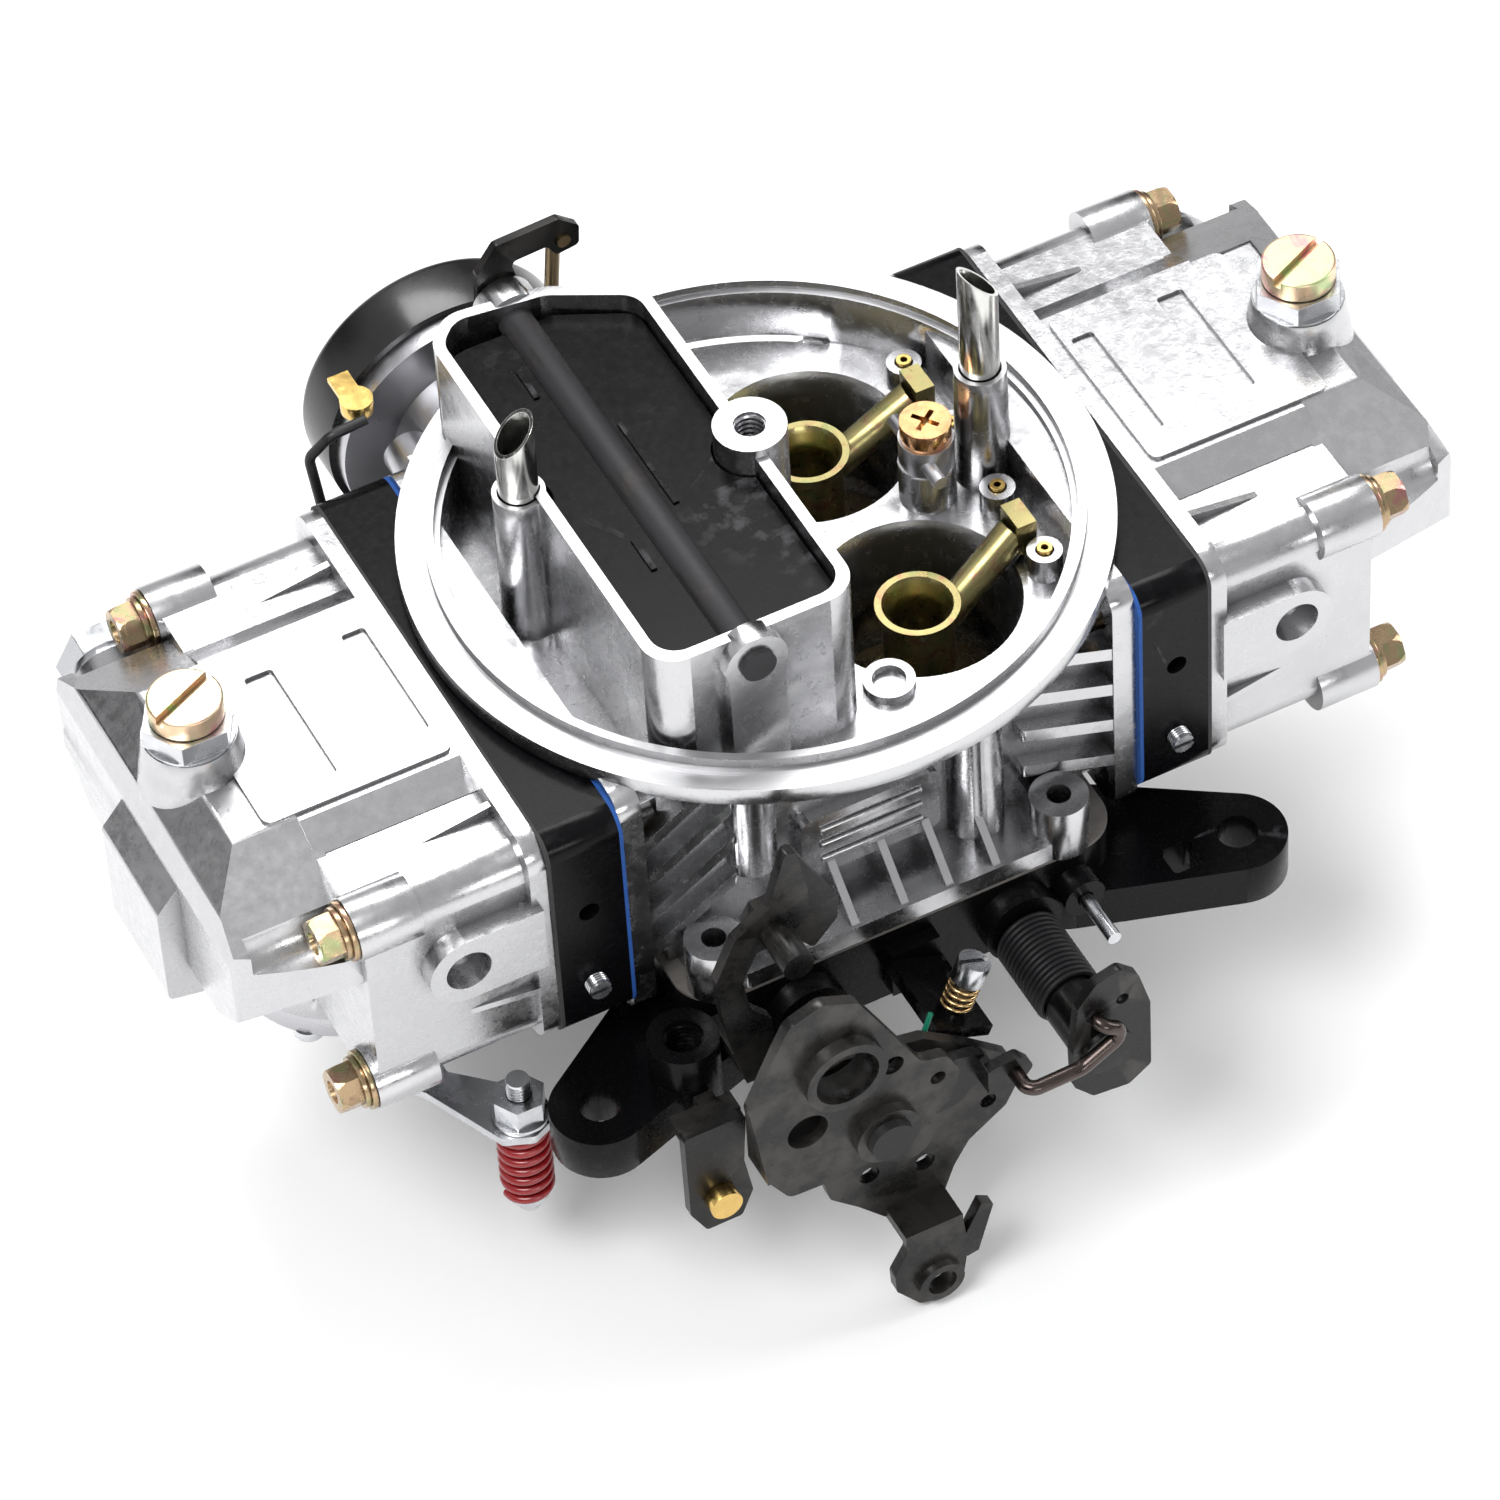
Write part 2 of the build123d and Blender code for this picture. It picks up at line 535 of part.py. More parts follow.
def needle_lock_screw():
    head = cyl_z(NEEDLE_X, NEEDLE_Y, TOWER_TOP + 5.2, TOWER_TOP + 10.0, 7.5)
    head = fillet(head.edges().filter_by(GeomType.CIRCLE), 0.5)
    slot = block(NEEDLE_X - 8, NEEDLE_X + 8, NEEDLE_Y - 0.9, NEEDLE_Y + 0.9, TOWER_TOP + 8.2, TOWER_TOP + 11)
    head -= Pos(NEEDLE_X, NEEDLE_Y, 0) * Rot(0, 0, 25) * Pos(-NEEDLE_X, -NEEDLE_Y, 0) * slot
    return head


FLOAT_PIN_X = 127.0
FLOAT_PIN_Z = 44.0


def float_body():
    body = rounded_box(78, 103, -30, 30, 41, 60, 5, Axis.Y)
    body += block(102, FLOAT_PIN_X + 2, -6, 6, 47.6, 49.6)
    tube = cyl_y(FLOAT_PIN_X, FLOAT_PIN_Z, -9, 9, 2.6)
    body += tube + block(FLOAT_PIN_X - 1.2, FLOAT_PIN_X + 1.2, -6, 6, FLOAT_PIN_Z, 48)
    return body + cyl_y(FLOAT_PIN_X, FLOAT_PIN_Z, -12.6, 12.6, 1.2)


# ---------------------------------------------------------------- accelerator pumps
PUMP_BOLT_X = 82.0
PUMP_BOLT_Y = 50.0
PUMP_PIVOT_Y = 27.0
PUMP_PIVOT_Z = -0.5
PUMP_PIN_R = 1.6


def pump_screw_points():
    angles = [math.radians(45 + 90 * a) for a in range(4)]
    return [(PUMP_X + 20.6 * math.cos(a), 20.6 * math.sin(a)) for a in angles]


def pump_cover():
    top = PUMP_TOP
    cover = cyl_z(PUMP_X, 0, top - 5.0, top, PUMP_R)
    cover -= cyl_z(PUMP_X, 0, top - 3.0, top + 1, 15.0)
    cover -= cyl_z(PUMP_X, 0, top - 6.0, top, 8.5)
    for x0 in (PUMP_X - 9.5, PUMP_X + 6.9):
        x1 = x0 + 2.6
        ear = prism_x(((16, top - 5), (16, top - 2), (PUMP_PIVOT_Y + 4, top - 4), (PUMP_PIVOT_Y + 4, -1.5),
                       (PUMP_PIVOT_Y + 1.5, -2.9), (PUMP_PIVOT_Y - 1.5, -2.9)), x0, x1, 0.8)
        cover += ear
    cover += cyl_x(PUMP_PIVOT_Y, PUMP_PIVOT_Z, PUMP_X - 10.0, PUMP_X + 10.0, PUMP_PIN_R)
    for px, py in pump_screw_points():
        cover -= cyl_z(px, py, 0, PUMP_TOP + 1, 1.9)
    return cover


def pump_cover_screws():
    group = []
    for px, py in pump_screw_points():
        screw = cyl_z(px, py, PUMP_TOP - 5.0, PUMP_TOP + 6, 1.6)
        screw += cyl_z(px, py, PUMP_TOP - 7.2, PUMP_TOP - 5.0, 3.2)
        group.append(screw)
    return group


def pump_lever():
    strip = ((90, -5), (103, -5), (103, 26), (96, 36), (88, 54), (82, 56.5), (76.5, 54), (76.5, 46),
             (90, 33))
    lever = prism_z(strip, -5.2, -3.2, 1.5)
    lever += cyl_z(PUMP_X, 0, -3.4, 2.6, 4.5)
    for x0 in (PUMP_X - 6.4, PUMP_X + 4.4):
        lever += block(x0, x0 + 2.0, PUMP_PIVOT_Y - 4, PUMP_PIVOT_Y + 4, -5.2, 1.8)
    lever -= cyl_x(PUMP_PIVOT_Y, PUMP_PIVOT_Z, PUMP_X - 15, PUMP_X + 15, PUMP_PIN_R + RUN_GAP)
    lever -= cyl_z(PUMP_BOLT_X, PUMP_BOLT_Y, -6, 0, 2.9)
    return lever


def pump_bolt():
    bolt = cyl_z(PUMP_BOLT_X, PUMP_BOLT_Y, -31.0, 8.0, 2.3)
    bolt += cyl_z(PUMP_BOLT_X, PUMP_BOLT_Y, -27.6, -26.2, 4.2)
    return bolt


def pump_nut():
    nut = hex_z(PUMP_BOLT_X, PUMP_BOLT_Y, -2.0, 3.4, 9.5) + cyl_z(PUMP_BOLT_X, PUMP_BOLT_Y, -3.2, -2.0, 5.8)
    return nut - cyl_z(PUMP_BOLT_X, PUMP_BOLT_Y, -4, 4, 2.6)


def pump_spring():
    turns_height = 18.6
    start = Pos(PUMP_BOLT_X, PUMP_BOLT_Y, -24.9)
    return start * coil(4.6, 0.95, 2.9, turns_height)


# ---------------------------------------------------------------- throttle shafts and plates
SHAFT_END_Y = -99.5
PLATE_SCREW_DY = 9.0


def throttle_shaft(x, near_y):
    shaft = cyl_y(x, SHAFT_Z, near_y, 66.5, SHAFT_R)
    for y in (-BORE_Y, BORE_Y):
        half = PLATE_T / 2 + RUN_GAP
        shaft -= block(x - 6, x + 6, y - PLATE_R - 0.2, y + PLATE_R + 0.2, SHAFT_Z - half, SHAFT_Z + half)
        for dy in (-PLATE_SCREW_DY, PLATE_SCREW_DY):
            shaft -= cyl_z(x, y + dy, SHAFT_Z - 6, SHAFT_Z + 6, 1.8)
            shaft -= cyl_z(x, y + dy, SHAFT_Z + 3.2, SHAFT_Z + 6, 3.2)
    return shaft


def throttle_plates(x):
    pair = []
    for y in (-BORE_Y, BORE_Y):
        disc = cyl_z(x, y, SHAFT_Z - PLATE_T / 2, SHAFT_Z + PLATE_T / 2, PLATE_R)
        for dy in (-PLATE_SCREW_DY, PLATE_SCREW_DY):
            disc -= cyl_z(x, y + dy, SHAFT_Z - 2, SHAFT_Z + 2, 1.8)
        pair.append(disc)
    return pair


def plate_screws(x):
    group = []
    for y in (-BORE_Y, BORE_Y):
        for dy in (-PLATE_SCREW_DY, PLATE_SCREW_DY):
            screw = cyl_z(x, y + dy, SHAFT_Z - 4.6, SHAFT_Z + 3.2, 1.5)
            screw += cyl_z(x, y + dy, SHAFT_Z + 3.2, SHAFT_Z + 5.0, 2.9)
            group.append(screw)
    return group


# ---------------------------------------------------------------- throttle linkage
LEVER_B_Y = (-89.0, -86.5)
LEVER_A_Y = (-95.0, -92.5)
DRIVE_Y = (-92.0, -89.5)
LOWER_Y = (-97.5, -95.0)
BIG_BUSH = (-33.0, 30.0)
LOW_EYE = (-15.1, -44.2)
DRIVE_PIN = (4.0, 8.0)
LINK_PIN = (20.5, 18.0)
LINK_R = 1.55
LINK_Y = -102.0
FRONT_PLATE = ((-43.5, 48), (-36.3, 50.8), (-28.5, 47), (-20.4, 31), (-15.6, 21.5), (-10, 20), (-7.2, 14),
               (-9.8, 6.6), (-19, -2.0), (-36.3, -3.0), (-45.5, -2.5), (-50, 5), (-53, 28), (-46.5, 42))
REAR_PLATE = ((8, -6), (6.5, 4), (-2, 12), (-12, 20), (-30, 24), (-46, 18), (-49, 4), (-44, -5), (-36, -8),
              (-34, -17), (-28, -23), (-22, -30), (-9, -30), (-6.5, -23), (-3, -17), (5.5, -11))
LOWER_ARM = ((-22, -27.5), (-21.5, -32), (-24.8, -38), (-24.6, -43), (-19.5, -50), (-13.8, -51.6),
             (-9.5, -46.5), (-8.3, -38.3), (-9.3, -27.5))


def throttle_lever():
    front = prism_y(FRONT_PLATE, *LEVER_A_Y, 3)
    rear = prism_y(REAR_PLATE, *LEVER_B_Y, 1.5)
    lower = prism_y(LOWER_ARM, *LOWER_Y, 2)
    lever = front + rear + lower
    lever += block(-22, -9.2, LOWER_Y[0], LEVER_B_Y[1], -30.0, -27.5)
    lever += block(-50, -44, LEVER_A_Y[0], LEVER_B_Y[1], 4.0, 18.0)
    tab = ((-9.6, -36), (-8.6, -41.5), (-6.0, -41.0), (-2.4, -28.5), (-5.0, -26.8))
    lever += prism_y(tab, *LOWER_Y)
    lever += cyl_y(LOW_EYE[0], LOW_EYE[1], LOWER_Y[0] - 1.6, LOWER_Y[1], 5.0)
    lever += cyl_y(BIG_BUSH[0], BIG_BUSH[1], -98.0, -90.5, 8.8)
    lever += cyl_y(PRI_X, SHAFT_Z, -97.5, -94, 7.0)
    lever += cyl_y(-17.0, -7.4, -90.6, -88, 5.4)
    lever -= cyl_y(PRI_X, SHAFT_Z, -100, -80, SHAFT_R + 0.1)
    lever -= cyl_y(BIG_BUSH[0], BIG_BUSH[1], -100, -80, 6.8)
    lever -= cyl_y(LOW_EYE[0], LOW_EYE[1], -100, -90, 3.2)
    for x, z, r in ((-21.8, 24.1, 2.4), (-12.2, 14.5, 1.7), (-40.8, 15.1, 4.4)):
        lever -= cyl_y(x, z, -96, -90, r)
    for x, z, r in ((1.6, -7.5, 1.8), (-13.0, -18.0, 2.3), (-25.2, -14.7, 2.2)):
        lever -= cyl_y(x, z, -90, -80, r)
    return lever


def pump_cam():
    cam = cyl_y(PRI_X - 2.5, SHAFT_Z - 2.0, -76.0, -71.0, 11.5)
    return cam - cyl_y(PRI_X, SHAFT_Z, -80, -70, SHAFT_R + 0.1)


def drive_lever():
    arm = ((-24.5, 15), (-6, 13.5), (0, 11.5), (0, 4.5), (-6, 0.0), (-24.5, -2), (-31.5, 2), (-31.5, 11))
    lever = prism_y(arm, *DRIVE_Y, 2)
    end = ((-2, 11.5), (5, 12.2), (8.2, 8), (5, 3.8), (-2, 4.5))
    lever += prism_y(end, -96.5, -94.0, 1.5)
    lever += block(-2.0, 0.0, -96.5, -89.5, 4.8, 11.2)
    lever -= cyl_y(PRI_X, SHAFT_Z, -100, -80, SHAFT_R + RUN_GAP)
    lever -= cyl_y(DRIVE_PIN[0], DRIVE_PIN[1], -100, -90, LINK_R + RUN_GAP)
    return lever


def link_rod():
    dx, dz = DRIVE_PIN
    sx, sz = LINK_PIN
    points = ((dx, -92.6, dz), (dx, LINK_Y, dz), (16.0, LINK_Y, 8.2), (26.2, LINK_Y, 14.2), (sx, LINK_Y, sz),
              (sx, SEC_PLATE_Y[0] - 0.6, sz))
    return rod(points, (2.4, 5.0, 2.4, 1.9), LINK_R)


SEC_PLATE_Y = (-98.8, -96.5)
SEC_PLATE = ((26.5, 28.5), (30.5, 24.5), (33, 15), (33, -4), (28, -7.5), (20, -6.5), (15.8, -1.5), (15.6, 9),
             (17, 22), (21, 27))


def secondary_lever():
    lever = prism_y(SEC_PLATE, *SEC_PLATE_Y, 1.5)
    lever += block(30.8, 33, -98, -86, -4.0, 13.5)
    lever += block(22, 33, -88, -86, -4.0, 7.5)
    lever += cyl_y(SEC_X, SHAFT_Z, -97, -85.4, 6.2)
    lever += cyl_y(SEC_X, SHAFT_Z, -100.0, -98, 5.6)
    lever -= cyl_y(SEC_X, SHAFT_Z, -98.2, -80, SHAFT_R + 0.1)
    lever -= cyl_y(LINK_PIN[0], LINK_PIN[1], -100, -95, LINK_R + 0.35)
    lever -= cyl_y(26.8, 19.5, -100, -95, 1.4)
    return lever


def secondary_spring():
    return Pos(SEC_X, -66.4, SHAFT_Z) * Rot(90, 0, 0) * coil(6.5, 0.62, 1.3, 17.6)


def idle_screw():
    stem = cyl_z(0, 0, -9.0, 8.0, 1.6) + cyl_z(0, 0, 8.0, 13.0, 3.4)
    stem -= block(-4, 4, -0.5, 0.5, 11.6, 14)
    return Pos(IDLE_X, IDLE_Y, IDLE_Z) * Rot(0, IDLE_LEAN, 0) * stem


def idle_spring():
    wire = Pos(0, 0, 0.9) * coil(2.9, 0.45, 1.55, 6.2)
    return Pos(IDLE_X, IDLE_Y, IDLE_Z) * Rot(0, IDLE_LEAN, 0) * wire


def side_bracket():
    plate = block(-61.0, -47.5, -79.0, -74.4, 7.2, 9.6) + block(-54.5, -50.5, -79.0, -72.2, 4.0, 9.6)
    hang = ((-61, 9.6), (-47.5, 9.6), (-48.5, -4), (-47.0, -14), (-49.7, -20.5), (-57.5, -20.5),
            (-60.8, -14))
    plate += prism_y(hang, -81.2, -78.8, 1.0)
    return plate - cyl_y(-54.4, -11.0, -85, -75, 2.6)


def bracket_pin():
    pin = cyl_y(-54.4, -11.0, -84.8, -81.2, 3.4)
    return pin + cyl_y(-54.4, -11.0, -82, -77.0, 2.3)


STOP_BOLT = (-37.0, 55.0)


def stop_bracket():
    leg = ((-45, 13.6), (-39, 13.6), (-38.2, 22), (-38.8, 30), (-43, 35), (-44.5, 44), (-41, 51),
           (-34, 51), (-29.5, 57),
           (-29.5, 63), (-31.5, 75), (-34.0, 75.5), (-38, 62), (-45.5, 57), (-50, 47), (-49, 34))
    bracket = prism_y(leg, -77.4, -75.0, 0.9)
    vane = ((-33.5, 75.4), (-30.5, 72), (-22.4, 55), (-22.6, 49), (-28.0, 43.0), (-32.0, 48), (-31, 60))
    bracket += prism_y(vane, -75.4, -73.0, 0.9)
    bracket += block(-45, -39, -77.4, -61.0, 13.6, 16.4)
    return bracket - cyl_y(STOP_BOLT[0], STOP_BOLT[1], -80, -70, 2.7)


def stop_bolt():
    x, z = STOP_BOLT
    bolt = hex_y(x, z, -74.8, -71.2, 8.0) & block(x - 9, x + 9, -75, -70, z - 9, z + 9)
    bolt += cyl_y(x, z, -78, -72, 2.4) + cyl_y(x, z, -87.5, -77.4, 3.3)
    return bolt


def wire_tag():
    points = ((-17.1, -85.9, 14.0), (-11.3, -85.9, 15.0), (-8.4, -85.2, 21.5))
    return rod(points, (1.6,), 0.55)


# ---------------------------------------------------------------- air horn parts
def vent_tube(x, y, seat, tip, lean):
    """Tube cut off at 45 degrees, low side outboard (lean is the sign of that side)."""
    tube = cyl_z(x, y, seat - 11.0, tip, VENT_R) - cyl_z(x, y, seat - 12, tip + 1, VENT_R - 0.7)
    cutter = Pos(x, y, tip - VENT_R) * Rot(0, lean * 45, 0) * Pos(0, 0, 20) * Box(60, 40, 40)
    return tube - cutter


def booster(x, y, outward, reach):
    ring = cyl_z(x, y, 47.0, 63.0, 7.2) + cone_z(x, y, 60.0, 64.5, 7.2, 8.6)
    arm = booster_arm(x, y, outward, reach, 3.5)
    tip_x = x + outward * reach
    x0, x1 = sorted((tip_x - outward * 1.0, tip_x + outward * 3.2))
    ring += arm + block(x0, x1, y * 0.9 - 3.6, y * 0.9 + 3.6, 67.5, 75.5)
    ring -= cyl_z(x, y, 46, 60, 5.2)
    ring -= cone_z(x, y, 59.9, 64.6, 5.2, 7.2)
    return ring


def booster_arm(x, y, outward, reach, radius):
    start = Vector(x + outward * 6.0, y, 58.0)
    end = Vector(x + outward * reach, y * 0.9, 71.0)
    axis = end - start
    ring = Plane(origin=start, z_dir=axis) * Circle(radius)
    return extrude(ring, axis.length)


def squirter(x, top, outer_r):
    body = cyl_z(x, 0, top, top + 7.0, outer_r)
    for side in (-1, 1):
        y0, y1 = sorted((0, side * 10.0))
        body += cyl_y(x - math.copysign(2.0, x), top + 3.4, y0, y1, 1.5)
    return body - cyl_z(x, 0, top - 1, top + 8, 2.2)


def squirter_screw(x, top):
    screw = cyl_z(x, 0, top - 7.0, top + 7.2, 1.9) + cyl_z(x, 0, top + 7.0, top + 11.4, 5.2)
    for a in (35, 125):
        cross = Pos(x, 0, top + 10.8) * Rot(0, 0, a) * Box(6.0, 1.1, 2.4)
        screw -= cross
    return screw


def air_bleeds():
    group = []
    for y in BLEED_Y:
        jet = cyl_z(BLEED_X, y, BLEED_TOP - 4.6, BLEED_TOP + 0.8, 1.6)
        group.append(jet - cyl_z(BLEED_X, y, BLEED_TOP - 5, BLEED_TOP + 1, 0.7))
    return group


# ---------------------------------------------------------------- choke
CHOKE_LEVER_Y = (61.2, 63.0)
ROD_Y = 65.4
CHOKE_PIN = (-10.0, 108.4)
THERMO_X = -30.0
THERMO_Z = 57.0
THERMO_PIN = (-13.6, 68.5)
CAP_R = 29.0
PLATE_BARS = ((-30.4, 32.5, 41.0), (-31.0, -19.6, -10.6), (-19.3, -6.0, 18.5))


def choke_shaft():
    shaft = cyl_y(CHOKE_X, CHOKE_Z, -51.2, 66.0, CHOKE_SHAFT_R)
    half = CHOKE_PLATE_T / 2 + RUN_GAP
    return shaft - block(CHOKE_X - 5, CHOKE_X + 5, -44.4, 52.0, CHOKE_Z - half, CHOKE_Z + half)


def choke_plate():
    outline = ((-41.3, -44.2), (-2.8, -44.2), (-2.8, 43.9), (-17.6, 51.6), (-36.9, 51.6), (-41.3, 50.6))
    plate = prism_z(outline, CHOKE_Z - CHOKE_PLATE_T / 2, CHOKE_Z + CHOKE_PLATE_T / 2, 1.2)
    corner = prism_z(((-41.25, -44.2), (-2.75, -44.2), (-2.75, 43.7), (-17.8, 52.4), (-36.9, 55.0),
                     (-41.25, 50.8)),
                     CHOKE_Z - 2, CHOKE_Z + 2, 5.2)
    plate = plate & corner
    for x, y0, y1 in PLATE_BARS:
        plate += block(x - 0.6, x + 0.6, y0, y1, CHOKE_Z, CHOKE_Z + CHOKE_PLATE_T / 2 + 0.5)
    plate -= cyl_z(0, 0, 90, 110, STUD_BOSS_R + 0.5)
    plate -= cyl_z(VENTS[0][0], VENTS[0][1], 90, 110, 6.8)
    return plate


def choke_lever():
    arm = ((-29.5, 96.5), (-29.0, 107.5), (-24.5, 113.5), (-10.5, 114.2), (-6.2, 110.5),
           (-6.5, 105.5), (-11.5, 104.8),
           (-13.5, 108.0), (-21.5, 107.5), (-19.8, 100), (-22, 94.5), (-27, 94.0))
    lever = prism_y(arm, *CHOKE_LEVER_Y, 1.2)
    lever -= cyl_y(CHOKE_X, CHOKE_Z, 60, 64, CHOKE_SHAFT_R + 0.1)
    return lever - cyl_y(CHOKE_PIN[0], CHOKE_PIN[1], 60, 64, 1.5 + RUN_GAP)


def choke_rod():
    px, pz = CHOKE_PIN
    tx, tz = THERMO_PIN
    points = ((px, CHOKE_LEVER_Y[0] - 0.8, pz), (px, ROD_Y, pz), (tx, ROD_Y, tz))
    return rod(points, (2.2,), 1.5)


def choke_housing():
    body = cyl_y(THERMO_X, THERMO_Z, 52.0, 71.2, 16.5)
    body += cyl_y(THERMO_X, THERMO_Z, 71.2, 75.6, 27.5)
    body += block(-50, -14, 52.0, 55.5, 44, 72)
    for x in (-47.5, -16.5):
        body += cyl_y(x, 66.5, 52.0, 62.0, 5.0)
    body -= cyl_y(THERMO_X, THERMO_Z, 69.0, 75, 13.5)
    # window for the thermostat lever
    return body - block(-36, -8, 61.4, 69.4, THERMO_Z - 19, THERMO_Z + 19)


def thermostat_lever():
    arm = ((-34, 54), (-34, 60), (-30, 61.5), (-16.5, 70.8), (-12, 71.2), (-11.2, 66.8),
           (-14.5, 65.5), (-27, 53.5))
    lever = prism_y(arm, 61.6, 63.5, 1)
    return lever + cyl_y(THERMO_X, THERMO_Z, 61.6, 67.8, 2.4)


def choke_cap():
    cap = cyl_y(THERMO_X, THERMO_Z, 75.6, 90.0, CAP_R)
    cap = fillet(cap.edges().filter_by(GeomType.CIRCLE).sort_by(Axis.Y)[-1], 2.5)
    return cap - cyl_y(THERMO_X, THERMO_Z, 75, 87, CAP_R - 2.5)


def terminal_blade():
    blade = block(-57.5, -53.0, 64.0, 75.4, 79.2, 80.4)
    return blade + cyl_z(-55.2, 66.5, 78.4, 81.6, 3.4)


def ground_wire_parts():
    points = ((-56.0, 60.0, 81.8), (-64.0, 60.5, 80.5), (-68.0, 63.0, 74.0), (-68.0, 58.0, 62.0),
              (-66.5, 57.0, 50.0))
    return [rod(points, (3.0, 3.0, 3.0), 1.1), cyl_z(-66.5, 57.0, 40.0, 49.9, 3.2)]


def vacuum_stub():
    return cyl_y(36.5, 10.5, -78.0, -60.5, 1.5)


# ---------------------------------------------------------------- write the nodes
def both_ends(shapes):
    return shapes + [turned(s) for s in shapes]


def finished_casting():
    casting = main_body()
    for x, outward, reach in ((SEC_X, 1, SEC_REACH), (PRI_X, -1, PRI_REACH)):
        for y in (-BORE_Y, BORE_Y):
            casting -= booster_arm(x, y, outward, reach + 1, 3.9)
    return casting


SEC_REACH = 23.0
PRI_REACH = 13.5
SEC_SHAFT_END_Y = -98.0


def boosters():
    front = [booster(PRI_X, y, -1, PRI_REACH) for y in (-BORE_Y, BORE_Y)]
    return front + [booster(SEC_X, y, 1, SEC_REACH) for y in (-BORE_Y, BORE_Y)]


NODES = {
    "throttle_base": [throttle_base()],
    "base_gasket": [base_gasket()],
    "main_body": [finished_casting()],
    "block_gaskets": both_ends([end_sheet(FLANGE_X1, BLOCK_X0, BLOCK_Z0, BLOCK_Z1, 30)]),
    "bowl_gaskets": both_ends([end_sheet(BLOCK_X1, BOWL_X0, BLOCK_Z0, BLOCK_Z1, 36)]),
    "bowl_screws": bowl_screws(),
    "bowl_screw_washers": bowl_washers(),
    "idle_mixture_screws": mixture_screws(),
    "inlet_plugs": [inlet_plug(1), inlet_plug(-1)],
    "needle_seats": both_ends([needle_seat()]),
    "needle_nuts": both_ends([needle_nut()]),
    "needle_lock_screws": both_ends([needle_lock_screw()]),
    "pump_covers": both_ends([pump_cover()]),
    "pump_cover_screws": both_ends(pump_cover_screws()),
    "primary_throttle_shaft": [throttle_shaft(PRI_X, SHAFT_END_Y)],
    "primary_throttle_plates": throttle_plates(PRI_X),
    "primary_plate_screws": plate_screws(PRI_X),
    "secondary_throttle_shaft": [throttle_shaft(SEC_X, SEC_SHAFT_END_Y)],
    "secondary_throttle_plates": throttle_plates(SEC_X),
    "secondary_plate_screws": plate_screws(SEC_X),
    "throttle_lever": [throttle_lever()],
    "pump_cam": [pump_cam()],
    "secondary_drive_lever": [drive_lever()],
    "secondary_link_rod": [link_rod()],
    "secondary_lever": [secondary_lever()],
    "secondary_return_spring": [secondary_spring()],
    "idle_speed_screw": [idle_screw()],
    "idle_speed_spring": [idle_spring()],
    "side_bracket": [side_bracket()],
    "side_bracket_pin": [bracket_pin()],
    "stop_bracket": [stop_bracket()],
    "stop_bolt": [stop_bolt()],
    "lever_wire_tag": [wire_tag()],
    "vacuum_stub": [vacuum_stub()],
    "vent_tubes": [vent_tube(*VENTS[0], -1), vent_tube(*VENTS[1], 1)],
    "boosters": boosters(),
    "squirters": [squirter(-SQUIRTER_X + 2.0, 72.0, 5.2), squirter(SQUIRTER_X, 76.0, 5.6)],
    "squirter_screws": [squirter_screw(-SQUIRTER_X + 2.0, 72.0), squirter_screw(SQUIRTER_X, 76.0)],
    "air_bleeds": air_bleeds(),
    "choke_plate": [choke_plate()],
    "choke_shaft": [choke_shaft()],
    "choke_lever": [choke_lever()],
    "choke_rod": [choke_rod()],
    "choke_housing": [choke_housing()],
    "thermostat_lever": [thermostat_lever()],
    "choke_cap": [choke_cap()],
    "choke_terminal": [terminal_blade()],
    "choke_ground_wire": ground_wire_parts(),
}

PAIRS = {
    "metering_block": [metering_block()],
    "float": [float_body()],
    "pump_lever": [pump_lever()],
    "pump_bolt": [pump_bolt(), pump_nut()],
    "pump_spring": [pump_spring()],
}
NODES["secondary_bowl"] = [bowl(1)]
NODES["primary_bowl"] = [turned(bowl(-1))]
for name, shapes in PAIRS.items():
    NODES["secondary_" + name] = shapes
    NODES["primary_" + name] = [turned(s) for s in shapes]

os.makedirs("parts", exist_ok=True)
for name, shapes in NODES.items():
    solids = [solid for shape in shapes for solid in shape.solids()]
    export_step(solids[0] if len(solids) == 1 else Compound(children=solids), "parts/" + name + ".step")
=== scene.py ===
import bpy
import bmesh
import json
import math
from mathutils import Matrix, Vector


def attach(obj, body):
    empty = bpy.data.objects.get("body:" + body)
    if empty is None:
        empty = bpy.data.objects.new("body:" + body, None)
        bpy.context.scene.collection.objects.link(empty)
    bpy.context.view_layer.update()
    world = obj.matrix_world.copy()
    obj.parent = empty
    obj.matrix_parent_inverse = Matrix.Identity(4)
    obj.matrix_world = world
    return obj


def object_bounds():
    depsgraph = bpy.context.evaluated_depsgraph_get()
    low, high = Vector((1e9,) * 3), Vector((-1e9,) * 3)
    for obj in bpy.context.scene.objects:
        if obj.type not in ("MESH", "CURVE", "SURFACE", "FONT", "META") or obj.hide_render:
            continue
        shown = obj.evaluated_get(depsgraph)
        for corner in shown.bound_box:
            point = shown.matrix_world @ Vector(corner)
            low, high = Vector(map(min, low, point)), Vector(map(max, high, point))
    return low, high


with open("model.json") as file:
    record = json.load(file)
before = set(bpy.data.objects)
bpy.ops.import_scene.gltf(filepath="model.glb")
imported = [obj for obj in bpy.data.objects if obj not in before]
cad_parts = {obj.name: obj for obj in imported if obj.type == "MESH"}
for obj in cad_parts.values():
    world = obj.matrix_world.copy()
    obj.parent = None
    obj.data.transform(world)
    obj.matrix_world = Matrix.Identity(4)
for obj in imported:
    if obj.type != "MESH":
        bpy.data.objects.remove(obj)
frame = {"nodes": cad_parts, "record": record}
CAD_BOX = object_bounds()
NODES = frame["nodes"]
MOUNTS = {mount["name"]: mount for mount in frame["record"]["mounts"]}
MM = 0.001
LEDGE_Z = MOUNTS["air_cleaner_seat"]["pos_m"][2]
RING_DENSITY = 9000.0  # radians of the ledge's turning marks per metre of radius


